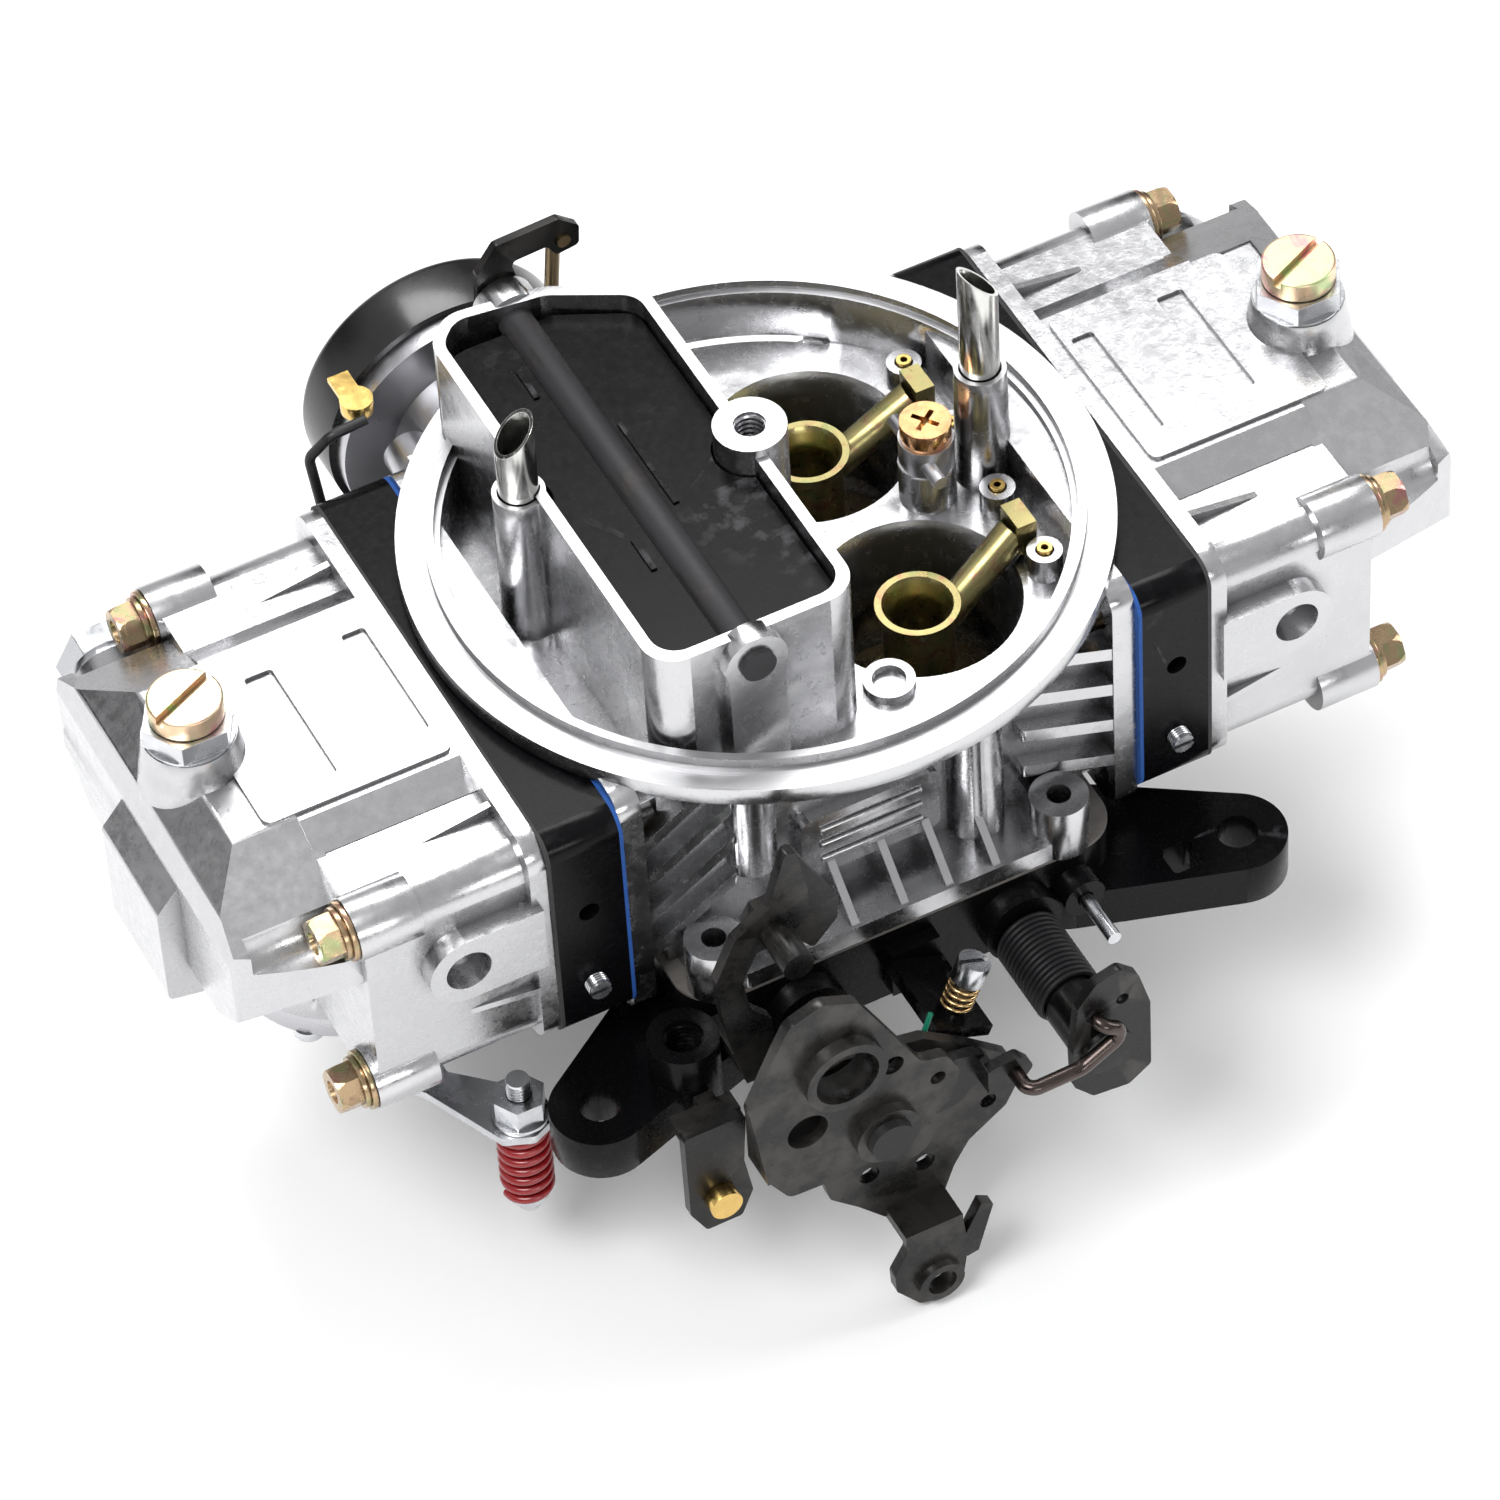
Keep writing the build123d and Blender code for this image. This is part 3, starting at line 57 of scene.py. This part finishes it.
# ---------------------------------------------------------------- node helpers
class Nodes:
    """A small wrapper for building the node tree of a material or of the world."""

    def __init__(self, tree):
        self.tree = tree

    def add(self, kind, **settings):
        node = self.tree.nodes.new(kind)
        for key, value in settings.items():
            setattr(node, key, value)
        return node

    def link(self, out, into):
        self.tree.links.new(out, into)

    def feed(self, value, socket):
        """Joins a socket to a socket, or sets a number or an RGB colour on it."""
        if isinstance(value, bpy.types.NodeSocket):
            self.link(value, socket)
        elif isinstance(value, (int, float)):
            socket.default_value = value
        else:
            socket.default_value = (*value, 1.0)

    def split(self, vector):
        node = self.add("ShaderNodeSeparateXYZ")
        self.link(vector, node.inputs[0])
        return node.outputs

    def ramp(self, value, stops):
        node = self.add("ShaderNodeValToRGB")
        items = node.color_ramp.elements
        while len(items) < len(stops):
            items.new(0.5)
        for item, (place, colour) in zip(items, stops):
            item.position = place
            item.color = (*colour, 1.0)
        self.link(value, node.inputs["Fac"])
        return node.outputs["Color"]

    def mix(self, fac, a, b):
        node = self.add("ShaderNodeMix", data_type="RGBA")
        colours = {socket.name: socket for socket in node.inputs if socket.type == "RGBA"}
        self.feed(fac, node.inputs["Factor"])
        self.feed(a, colours["A"])
        self.feed(b, colours["B"])
        return next(socket for socket in node.outputs if socket.type == "RGBA")

    def math(self, operation, a, b=0.0):
        node = self.add("ShaderNodeMath", operation=operation)
        self.feed(a, node.inputs[0])
        self.feed(b, node.inputs[1])
        return node.outputs[0]


class Net(Nodes):
    """The node tree of one new material, built round its Principled BSDF."""

    INPUTS = {"base": "Base Color", "metal": "Metallic", "rough": "Roughness", "normal": "Normal",
              "coat": "Coat Weight", "coat_rough": "Coat Roughness", "spec": "Specular IOR Level"}

    def __init__(self, name):
        self.mat = bpy.data.materials.new(name)
        self.mat.use_nodes = True
        super().__init__(self.mat.node_tree)
        self.bsdf = self.tree.nodes["Principled BSDF"]

    def geometry(self, output):
        return self.add("ShaderNodeNewGeometry").outputs[output]

    def coords(self):
        return self.add("ShaderNodeTexCoord").outputs["Object"]

    def stretched(self, sx, sy, sz):
        node = self.add("ShaderNodeMapping")
        node.inputs["Scale"].default_value = (sx, sy, sz)
        self.link(self.coords(), node.inputs["Vector"])
        return node.outputs["Vector"]

    def noise(self, scale, detail=4.0, rough=0.55, vector=None, distortion=0.0):
        node = self.add("ShaderNodeTexNoise")
        node.inputs["Scale"].default_value = scale
        node.inputs["Detail"].default_value = detail
        node.inputs["Roughness"].default_value = rough
        node.inputs["Distortion"].default_value = distortion
        self.link(vector or self.coords(), node.inputs["Vector"])
        return node.outputs["Fac"]

    def grey(self, value, low, high, start=0.3, end=0.7):
        """Maps start..end onto low..high."""
        node = self.add("ShaderNodeMapRange")
        node.inputs["From Min"].default_value = start
        node.inputs["From Max"].default_value = end
        node.inputs["To Min"].default_value = low
        node.inputs["To Max"].default_value = high
        self.link(value, node.inputs["Value"])
        return node.outputs["Result"]

    def edges(self, low=0.49, high=0.56):
        """1 on convex edges, 0 on flats and hollows."""
        return self.grey(self.geometry("Pointiness"), 0.0, 1.0, low, high)

    def hollows(self, distance):
        """1 in the open, towards 0 in corners closer than the distance in metres; the materials use it to
        paint shade into their colour.
        """
        node = self.add("ShaderNodeAmbientOcclusion", samples=8)
        node.inputs["Distance"].default_value = distance
        return node.outputs["AO"]

    def bump(self, height, strength, distance, below=None):
        node = self.add("ShaderNodeBump")
        node.inputs["Strength"].default_value = strength
        node.inputs["Distance"].default_value = distance
        self.link(height, node.inputs["Height"])
        if below is not None:
            self.link(below, node.inputs["Normal"])
        return node.outputs["Normal"]

    def set(self, **values):
        for key, value in values.items():
            self.feed(value, self.bsdf.inputs[self.INPUTS[key]])
        return self.mat


def scaled(tint, share):
    return tuple(channel * share for channel in tint)


def cast_aluminium(name, tint, rough, grain):
    """Bright tumbled die-cast metal: soft orange peel, fine grain, and painted shade darkening the
    hollows.
    """
    net = Net(name)
    big = net.noise(55, 3, 0.5)
    swell = net.noise(14, 2, 0.5)
    fine = net.noise(1100, 2, 0.6)
    pits = net.noise(330, 5, 0.7)
    # painted shade: ambient occlusion over 5 mm darkens the colour to 30% of the tint in corners and
    # creases
    painted_crease_shade = net.hollows(0.005)
    tone = net.ramp(big, ((0.25, scaled(tint, 0.92)), (0.75, tint)))
    tone = net.mix(net.grey(painted_crease_shade, 0.0, 1.0, 0.15, 0.8), scaled(tint, 0.30), tone)
    shine = net.math("ADD", net.grey(pits, rough - 0.05, rough + 0.09), net.grey(swell, -0.03, 0.05))
    shine = net.math("SUBTRACT", shine, net.math("MULTIPLY", net.edges(), 0.08))
    normal = net.bump(swell, 0.35, 0.0012)
    normal = net.bump(big, 0.20, 0.0005, normal)
    normal = net.bump(fine, grain, 0.00006, normal)
    normal = net.bump(pits, grain * 0.8, 0.00012, normal)
    return net.set(base=tone, metal=1.0, rough=shine, normal=normal)


def body_metal(name, tint):
    """Polished casting whose flat air-cleaner ledge is turned in fine rings, with painted shade in its
    hollows.
    """
    net = Net(name)
    x, y, z = net.split(net.geometry("Position"))
    radius = net.math("SQRT", net.math("ADD", net.math("MULTIPLY", x, x), net.math("MULTIPLY", y, y)))
    rings = net.math("SINE", net.math("MULTIPLY", radius, RING_DENSITY))
    level = net.grey(net.split(net.geometry("Normal"))[2], 0.0, 1.0, 0.97, 0.999)
    high = net.grey(z, 0.0, 1.0, LEDGE_Z - 0.0007, LEDGE_Z - 0.0002)
    turned = net.math("MULTIPLY", level, high)
    swell = net.noise(20, 2, 0.5)
    big = net.noise(70, 3, 0.5)
    fine = net.noise(900, 2, 0.6)
    pits = net.noise(300, 5, 0.7)
    # painted shade: ambient occlusion over 6 mm darkens the colour to 34% of the tint in corners and
    # creases
    painted_crease_shade = net.hollows(0.006)
    tone = net.ramp(big, ((0.25, scaled(tint, 0.92)), (0.75, tint)))
    tone = net.mix(net.grey(painted_crease_shade, 0.0, 1.0, 0.10, 0.80), scaled(tint, 0.34), tone)
    shine = net.math("ADD", net.grey(pits, 0.19, 0.31), net.math("MULTIPLY", turned, 0.10))
    normal = net.bump(swell, 0.55, 0.0014)
    normal = net.bump(big, 0.30, 0.0006, normal)
    normal = net.bump(fine, 0.12, 0.00005, normal)
    normal = net.bump(net.math("MULTIPLY", rings, turned), 0.12, 0.00003, normal)
    return net.set(base=tone, metal=1.0, rough=shine, normal=normal)


def gloss_black(name, base, rough):
    """Black anodised or painted metal: deep, even, with fine grain and a trace of dust on top."""
    net = Net(name)
    grain = net.noise(700, 3, 0.6)
    dust = net.noise(90, 5, 0.65)
    patchy = net.grey(net.noise(220, 4, 0.6), 0.0, 1.0, 0.50, 0.66)
    worn = net.math("MULTIPLY", net.edges(0.54, 0.62), patchy)
    tone = net.ramp(dust, ((0.35, base), (0.85, scaled(base, 1.2))))
    tone = net.mix(net.math("MULTIPLY", worn, 0.25), tone, (0.16, 0.16, 0.17))
    shine = net.math("ADD", net.grey(grain, rough - 0.04, rough + 0.05), net.grey(dust, -0.01, 0.02))
    normal = net.bump(grain, 0.08, 0.00004)
    return net.set(base=tone, metal=0.0, rough=shine, normal=normal, spec=0.12)


def black_oxide(name, base, rough, wear):
    """Oiled oxide steel with rubbed edges, faint brown bloom and handling scratches."""
    net = Net(name)
    bloom = net.noise(95, 5, 0.65)
    grain = net.noise(1200, 2, 0.5)
    lines = net.noise(260, 2, 0.5, net.stretched(1.0, 1.0, 14.0))
    scratch = net.grey(lines, 0.0, 1.0, 0.68, 0.71)
    worn = net.math("MULTIPLY", net.edges(0.52, 0.58), net.grey(bloom, 0.1, 1.0, 0.42, 0.62))
    brown = (base[0] * 2.4 + 0.001, base[1] * 1.9, base[2] * 1.5)
    tone = net.ramp(bloom, ((0.30, base), (0.60, scaled(base, 1.15)), (0.85, brown)))
    tone = net.mix(net.math("MULTIPLY", scratch, wear * 0.3), tone, (0.16, 0.15, 0.14))
    tone = net.mix(net.math("MULTIPLY", worn, wear), tone, (0.20, 0.19, 0.18))
    shine = net.math("ADD", net.grey(grain, rough - 0.03, rough + 0.04), net.grey(bloom, -0.02, 0.04))
    normal = net.bump(grain, 0.16, 0.00005)
    normal = net.bump(bloom, 0.05, 0.0002, normal)
    return net.set(base=tone, metal=net.math("MULTIPLY", worn, 0.8), rough=shine, normal=normal, spec=0.25)


def dichromate(name, base, pink, green, rough=0.24):
    """Zinc dichromate plate: gold with drifting pink and green bloom."""
    net = Net(name)
    drift = net.noise(170, 2, 0.5, None, 1.2)
    patch = net.noise(420, 4, 0.6)
    tone = net.ramp(drift, ((0.30, green), (0.46, base), (0.58, base), (0.72, pink)))
    tone = net.mix(net.math("MULTIPLY", net.grey(patch, 0.0, 1.0), 0.3), tone, scaled(base, 0.55))
    # painted shade: ambient occlusion over 1.5 mm darkens the colour towards a quarter of the gold in
    # tight corners
    tone = net.mix(net.grey(net.hollows(0.0015), 0.0, 1.0, 0.2, 0.8), scaled(base, 0.25), tone)
    normal = net.bump(net.noise(1500, 2, 0.5), 0.12, 0.00004)
    return net.set(base=tone, metal=1.0, rough=net.grey(patch, rough - 0.05, rough + 0.12), normal=normal)


def plated(name, base, rough):
    """Bright zinc or machined metal with fine turning marks."""
    net = Net(name)
    fine = net.noise(1400, 3, 0.6)
    cloud = net.noise(240, 4, 0.6)
    tone = net.ramp(cloud, ((0.3, scaled(base, 0.8)), (0.7, base)))
    # painted shade: ambient occlusion over 1.5 mm darkens the colour towards 30% of the base in tight
    # corners
    tone = net.mix(net.grey(net.hollows(0.0015), 0.0, 1.0, 0.2, 0.8), scaled(base, 0.3), tone)
    return net.set(base=tone, metal=1.0, rough=net.grey(cloud, rough - 0.05, rough + 0.1),
                   normal=net.bump(fine, 0.14, 0.00004))


def plastic(name, base, rough, coat=0.0):
    """Moulded plastic or lacquer with faint smears and fine grain."""
    net = Net(name)
    fine = net.noise(700, 3, 0.6)
    smear = net.noise(45, 5, 0.7)
    tone = net.ramp(smear, ((0.3, base), (0.75, tuple(c * 1.35 + 0.003 for c in base))))
    return net.set(base=tone, metal=0.0, rough=net.grey(smear, rough - 0.05, rough + 0.1),
                   normal=net.bump(fine, 0.12, 0.00005), coat=coat, coat_rough=0.12)


def fibre(name, base):
    """Matt gasket sheet with fibres along one way."""
    net = Net(name)
    fibres = net.noise(500, 4, 0.7, net.stretched(1.0, 1.0, 4.0))
    tone = net.ramp(fibres, ((0.3, scaled(base, 0.7)), (0.7, base)))
    return net.set(base=tone, metal=0.0, rough=0.75, normal=net.bump(fibres, 0.3, 0.0001))


# maker: {look: what the maker takes after the name}, colours in linear RGB
RECIPES = {
    body_metal: {
        "casting": ((0.56, 0.56, 0.57),),
    },
    cast_aluminium: {
        "bowl_metal": ((0.55, 0.55, 0.56), 0.33, 0.30),
        "dull_metal": ((0.50, 0.50, 0.52), 0.36, 0.35),
    },
    gloss_black: {
        "anodised": ((0.002, 0.002, 0.0025), 0.24),
        "base_black": ((0.002, 0.002, 0.0023), 0.26),
        "plate_black": ((0.0012, 0.0012, 0.0013), 0.24),
    },
    black_oxide: {
        "oxide": ((0.0018, 0.0016, 0.0015), 0.29, 0.30),
        "oxide_soft": ((0.008, 0.008, 0.009), 0.46, 0.2),
        "shaft_grey": ((0.024, 0.024, 0.026), 0.52, 0.1),
    },
    dichromate: {
        "screw_gold": ((0.46, 0.33, 0.20), (0.48, 0.22, 0.21), (0.30, 0.35, 0.17)),
        "lock_gold": ((0.80, 0.60, 0.40), (0.80, 0.36, 0.36), (0.52, 0.66, 0.34), 0.30),
        "booster_gold": ((0.36, 0.31, 0.14), (0.36, 0.19, 0.12), (0.24, 0.29, 0.12), 0.28),
        "copper_gold": ((0.78, 0.42, 0.20), (0.78, 0.30, 0.18), (0.68, 0.50, 0.22), 0.22),
    },
    plated: {
        "brass": ((0.80, 0.55, 0.18), 0.22),
        # painted shade: a copy of brass darkened about fivefold for the throttle plates, which sit down in
        # the bores
        "dark_brass": ((0.16, 0.12, 0.06), 0.36),
        "zinc": ((0.66, 0.67, 0.69), 0.22),
        "bronze": ((0.34, 0.25, 0.14), 0.28),
        "link_bronze": ((0.085, 0.068, 0.062), 0.26),
        "tube_steel": ((0.72, 0.72, 0.69), 0.14),
        "spring_gold": ((0.70, 0.48, 0.23), 0.2),
    },
    plastic: {
        "cap_black": ((0.006, 0.006, 0.0065), 0.26, 0.15),
        "wire_black": ((0.006, 0.006, 0.006), 0.42),
        "green": ((0.0, 0.14, 0.08), 0.35),
        "red": ((0.22, 0.006, 0.008), 0.26, 0.3),
    },
    fibre: {
        "blue": ((0.006, 0.075, 0.32),),
        "gasket_dark": ((0.03, 0.03, 0.03),),
        "gasket_grey": ((0.14, 0.13, 0.12),),
    },
}
LOOKS = {}
for maker, recipes in RECIPES.items():
    for look, values in recipes.items():
        LOOKS[look] = maker(look, *values)

# node: (look, bevel width in mm)
FINISH = {
    "throttle_base": ("base_black", 0.7), "base_gasket": ("gasket_grey", 0),
    "main_body": ("casting", 0.55), "block_gaskets": ("blue", 0), "bowl_gaskets": ("gasket_dark", 0),
    "bowl_screws": ("screw_gold", 0.25), "bowl_screw_washers": ("screw_gold", 0.2),
    "idle_mixture_screws": ("zinc", 0.2), "inlet_plugs": ("zinc", 0.4), "needle_seats": ("brass", 0.2),
    "needle_nuts": ("zinc", 0.3), "needle_lock_screws": ("lock_gold", 0.25),
    "pump_covers": ("dull_metal", 0.5), "pump_cover_screws": ("zinc", 0.2),
    "primary_throttle_shaft": ("oxide_soft", 0.2), "primary_throttle_plates": ("dark_brass", 0.1),
    "primary_plate_screws": ("zinc", 0.1), "secondary_throttle_shaft": ("oxide_soft", 0.2),
    "secondary_throttle_plates": ("dark_brass", 0.1), "secondary_plate_screws": ("zinc", 0.1),
    "throttle_lever": ("oxide", 0.35), "pump_cam": ("wire_black", 0.3),
    "secondary_drive_lever": ("oxide", 0.3), "secondary_link_rod": ("link_bronze", 0),
    "secondary_lever": ("oxide", 0.35), "secondary_return_spring": ("oxide_soft", 0),
    "idle_speed_screw": ("zinc", 0.3), "idle_speed_spring": ("spring_gold", 0),
    "side_bracket": ("oxide", 0.3), "side_bracket_pin": ("brass", 0.35), "stop_bracket": ("oxide", 0.35),
    "stop_bolt": ("oxide", 0.3), "lever_wire_tag": ("green", 0), "vacuum_stub": ("zinc", 0.2),
    "vent_tubes": ("tube_steel", 0.12), "boosters": ("booster_gold", 0.35),
    "squirters": ("dull_metal", 0.3), "squirter_screws": ("copper_gold", 0.3),
    "air_bleeds": ("brass", 0.15), "choke_plate": ("plate_black", 0.3),
    "choke_shaft": ("shaft_grey", 0.25), "choke_lever": ("oxide", 0.3), "choke_rod": ("bronze", 0),
    "choke_housing": ("dull_metal", 0.6), "thermostat_lever": ("zinc", 0.2),
    "choke_cap": ("cap_black", 0.4), "choke_terminal": ("brass", 0.15),
    "choke_ground_wire": ("wire_black", 0), "primary_metering_block": ("anodised", 0.5),
    "secondary_metering_block": ("anodised", 0.5), "primary_bowl": ("bowl_metal", 0.8),
    "secondary_bowl": ("bowl_metal", 0.8), "primary_float": ("brass", 0.3),
    "secondary_float": ("brass", 0.3), "primary_pump_lever": ("zinc", 0.2),
    "secondary_pump_lever": ("zinc", 0.2), "primary_pump_bolt": ("zinc", 0.2),
    "secondary_pump_bolt": ("zinc", 0.2), "primary_pump_spring": ("red", 0),
    "secondary_pump_spring": ("red", 0),
}


WELD = 0.002 * MM
BEVEL_ANGLE = 38
SMOOTH_ANGLE = 35


def soften(obj, width):
    """Joins doubled points and rounds sharp edges by modifiers, so the mesh itself stays as it was."""
    weld = obj.modifiers.new("weld", "WELD")
    weld.merge_threshold = WELD
    if width:
        bevel = obj.modifiers.new("bevel", "BEVEL")
        bevel.width = width * MM
        bevel.segments = 2
        bevel.limit_method = "ANGLE"
        bevel.angle_limit = math.radians(BEVEL_ANGLE)
        bevel.miter_outer = "MITER_ARC"
        bevel.use_clamp_overlap = True


for name, (look, width) in FINISH.items():
    piece = NODES[name]
    piece.data.materials.clear()
    piece.data.materials.append(LOOKS[look])
    for face in piece.data.polygons:
        face.material_index = 0
    soften(piece, width)


# ---------------------------------------------------------------- added detail
CARBURETOR = "carburetor"
UP = (0, 0, 1)


def new_piece(name, mesh_builder, look, body, width=0.0):
    """One extra piece built in bmesh, riding on a body."""
    mesh = bpy.data.meshes.new(name)
    shape = bmesh.new()
    mesh_builder(shape)
    bmesh.ops.recalc_face_normals(shape, faces=shape.faces)
    shape.to_mesh(mesh)
    shape.free()
    obj = bpy.data.objects.new(name, mesh)
    bpy.context.collection.objects.link(obj)
    mesh.materials.append(LOOKS[look])
    for face in mesh.polygons:
        face.use_smooth = True
    mesh.set_sharp_from_angle(angle=math.radians(SMOOTH_ANGLE))
    if width:
        soften(obj, width)
    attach(obj, body)
    return obj


def add_box(shape, low, high):
    low, high = Vector(low) * MM, Vector(high) * MM
    place = Matrix.Translation((low + high) / 2) @ Matrix.Diagonal((*(high - low), 1.0))
    bmesh.ops.create_cube(shape, size=1.0, matrix=place)


def add_ring(shape, centre, axis, radius, wire, sides, around):
    """A closed torus: one crest of a thread."""
    turn = Vector(axis).to_track_quat("Z", "Y").to_matrix().to_4x4()
    place = Matrix.Translation(Vector(centre) * MM) @ turn
    rows = []
    for i in range(sides):
        a = 2 * math.pi * i / sides
        row = []
        for j in range(around):
            b = 2 * math.pi * j / around
            r = radius + wire * math.cos(b)
            point = Vector((r * math.cos(a), r * math.sin(a), wire * math.sin(b))) * MM
            row.append(shape.verts.new(place @ point))
        rows.append(row)
    for i in range(sides):
        for j in range(around):
            ni, nj = (i + 1) % sides, (j + 1) % around
            shape.faces.new((rows[i][j], rows[ni][j], rows[ni][nj], rows[i][nj]))


CREST = 0.36  # radius of a thread's crest, as a share of the pitch
RING_SIDES, CREST_SIDES = 32, 6


def thread(name, first_turn, axis, size, look, body):
    """Crests of a thread along the axis: size is its radius, pitch and number of turns."""
    radius, pitch, turns = size
    step = Vector(axis).normalized() * pitch
    start = Vector(first_turn)

    def build(shape):
        for i in range(turns):
            add_ring(shape, start + step * i, axis, radius, pitch * CREST, RING_SIDES, CREST_SIDES)
    return new_piece(name, build, look, body)


# radius and pitch in mm, and number of turns
STUD_THREAD = (3.25, 1.3, 14)
BOSS_THREAD = (4.05, 1.3, 10)
BOLT_THREAD = (2.25, 0.8, 5)
MIXTURE_THREAD = (2.2, 0.55, 4)
# distance from the middle of the base and height of each thread's first turn, in mm
STUD_Z = 88.0
BOSS_X, BOSS_Y, BOSS_Z = 52.5, 65.0, 6.0
BOLT_X, BOLT_Y, BOLT_Z = 82.0, 50.0, 3.8
MIXTURE_X, MIXTURE_Y, MIXTURE_Z = 64.8, 53.1, 31.0

# the tapped air-cleaner boss, the tapped bosses of the base and the free ends of the pump bolts
thread("stud_thread", (0, 0, STUD_Z), UP, STUD_THREAD, "dull_metal", CARBURETOR)
for sign, end in ((-1, "front"), (1, "rear")):
    place = (sign * BOSS_X, sign * BOSS_Y, BOSS_Z)
    thread(end + "_boss_thread", place, UP, BOSS_THREAD, "base_black", CARBURETOR)
for sign, side in ((-1, "primary"), (1, "secondary")):
    place = (sign * BOLT_X, sign * BOLT_Y, BOLT_Z)
    thread(side + "_bolt_thread", place, UP, BOLT_THREAD, "zinc", side + "_pump")

# the idle mixture screws
for sx in (-1, 1):
    for sy in (-1, 1):
        place = (sx * MIXTURE_X, sy * MIXTURE_Y, MIXTURE_Z)
        thread("mixture_thread_%d_%d" % (sx, sy), place, (0, sy, 0), MIXTURE_THREAD, "zinc", CARBURETOR)

BAR_X = (-13.5, 9.0)
BAR_Y = (49.9, 50.7)
BAR_FOOT = (34.0, 38.2, 42.4)
BAR_HEIGHT = 1.6


def side_bars(shape):
    """Plain bars that decorate the side panels of the body."""
    for sy in (-1, 1):
        y0, y1 = sorted(sy * y for y in BAR_Y)
        for foot in BAR_FOOT:
            add_box(shape, (BAR_X[0], y0, foot), (BAR_X[1], y1, foot + BAR_HEIGHT))


new_piece("side_panel_bars", side_bars, "casting", CARBURETOR, 0.3)

# ---------------------------------------------------------------- camera
TARGET = Vector((0, 0, 0.040))
AZIMUTH, ELEVATION, ROLL = (math.radians(a) for a in (-24.63, 47.92, -3.665))
DISTANCE = 1.6392
LENS, SENSOR = 196.8, 36.0
SHIFT = (-0.0094, -0.0655)
CLIP_END = 20.0


def add_camera():
    flat = math.cos(ELEVATION)
    back = Vector((math.sin(AZIMUTH) * flat, -math.cos(AZIMUTH) * flat, math.sin(ELEVATION)))
    right = Vector((math.cos(AZIMUTH), math.sin(AZIMUTH), 0))
    up = back.cross(right)
    cam_x = right * math.cos(ROLL) + up * math.sin(ROLL)
    cam_y = up * math.cos(ROLL) - right * math.sin(ROLL)
    pose = Matrix((cam_x, cam_y, back)).transposed().to_4x4()
    pose.translation = TARGET + back * DISTANCE
    camera = bpy.data.objects.new("camera", bpy.data.cameras.new("camera"))
    bpy.context.collection.objects.link(camera)
    camera.matrix_world = pose
    camera.data.sensor_width = SENSOR
    camera.data.lens = LENS
    camera.data.shift_x, camera.data.shift_y = SHIFT
    camera.data.clip_end = CLIP_END
    bpy.context.scene.camera = camera


# ---------------------------------------------------------------- studio
# light: (place, point it aims at, width and height), in metres, then its power in watts
LIGHTS = {
    "key": ((-0.60, -0.30, 0.95), (0, 0, 0.04), (0.55, 0.35), 8),
    "top": ((0.15, 0.50, 1.05), (0, 0, 0.04), (0.8, 0.4), 9),
    "side": ((0.95, -0.25, 0.45), (0, 0, 0.04), (0.25, 0.6), 3),
    "front": ((-0.1, -1.05, 0.34), (0, 0, 0.03), (0.5, 0.16), 2.5),
}
SKY_STRENGTH = 0.55
SKY_BLUE = 1.01  # blue of the sky against its red and green
PANELS_ROUND = 5.0  # bright upright panels round the horizon
FLOOR_HALF = 6.0
FLOOR_GAP = 0.0006


def area_light(name, place, aim, size, power):
    data = bpy.data.lights.new(name, "AREA")
    data.shape = "RECTANGLE"
    data.size, data.size_y = size
    data.energy = power
    obj = bpy.data.objects.new(name, data)
    obj.location = place
    obj.rotation_euler = (Vector(aim) - Vector(place)).to_track_quat("-Z", "Y").to_euler()
    bpy.context.collection.objects.link(obj)


def sky_levels(*stops):
    return [(place, (level, level, level * SKY_BLUE)) for place, level in stops]


def soft_world():
    """A dome with a bright top, over soft upright panels near the horizon."""
    world = bpy.data.worlds.new("studio")
    world.use_nodes = True
    sky = Nodes(world.node_tree)
    x, y, z = sky.split(sky.add("ShaderNodeTexCoord").outputs["Generated"])
    wave = sky.math("SINE", sky.math("MULTIPLY", sky.math("ARCTAN2", y, x), PANELS_ROUND))
    wave = sky.math("ADD", sky.math("MULTIPLY", wave, 0.5), 0.5)
    panels = sky.ramp(wave, sky_levels((0.30, 0.05), (0.62, 1.15)))
    dome = sky.ramp(z, sky_levels((0.0, 0.75), (0.04, 0.10), (0.30, 0.12), (0.52, 0.95), (1.0, 1.25)))
    near_horizon = sky.ramp(z, sky_levels((0.0, 1.0), (0.42, 1.0), (0.62, 0.0)))
    background = sky.tree.nodes["Background"]
    sky.link(sky.mix(near_horizon, dome, panels), background.inputs["Color"])
    background.inputs["Strength"].default_value = SKY_STRENGTH
    bpy.context.scene.world = world


def pale_floor():
    mesh = bpy.data.meshes.new("floor")
    z = CAD_BOX[0][2] - FLOOR_GAP
    corners = [(sx * FLOOR_HALF, sy * FLOOR_HALF, z) for sx, sy in ((-1, -1), (1, -1), (1, 1), (-1, 1))]
    mesh.from_pydata(corners, [], [(0, 1, 2, 3)])
    floor = bpy.data.objects.new("floor", mesh)
    bpy.context.collection.objects.link(floor)
    net = Net("floor")
    tone = net.ramp(net.noise(3, 2, 0.4), ((0.3, (0.955, 0.955, 0.955)), (0.7, (0.97, 0.97, 0.97))))
    mesh.materials.append(net.set(base=tone, rough=0.6, spec=0.2))


add_camera()
for name, values in LIGHTS.items():
    area_light(name, *values)
soft_world()
pale_floor()
bpy.context.scene.view_settings.view_transform = "Standard"
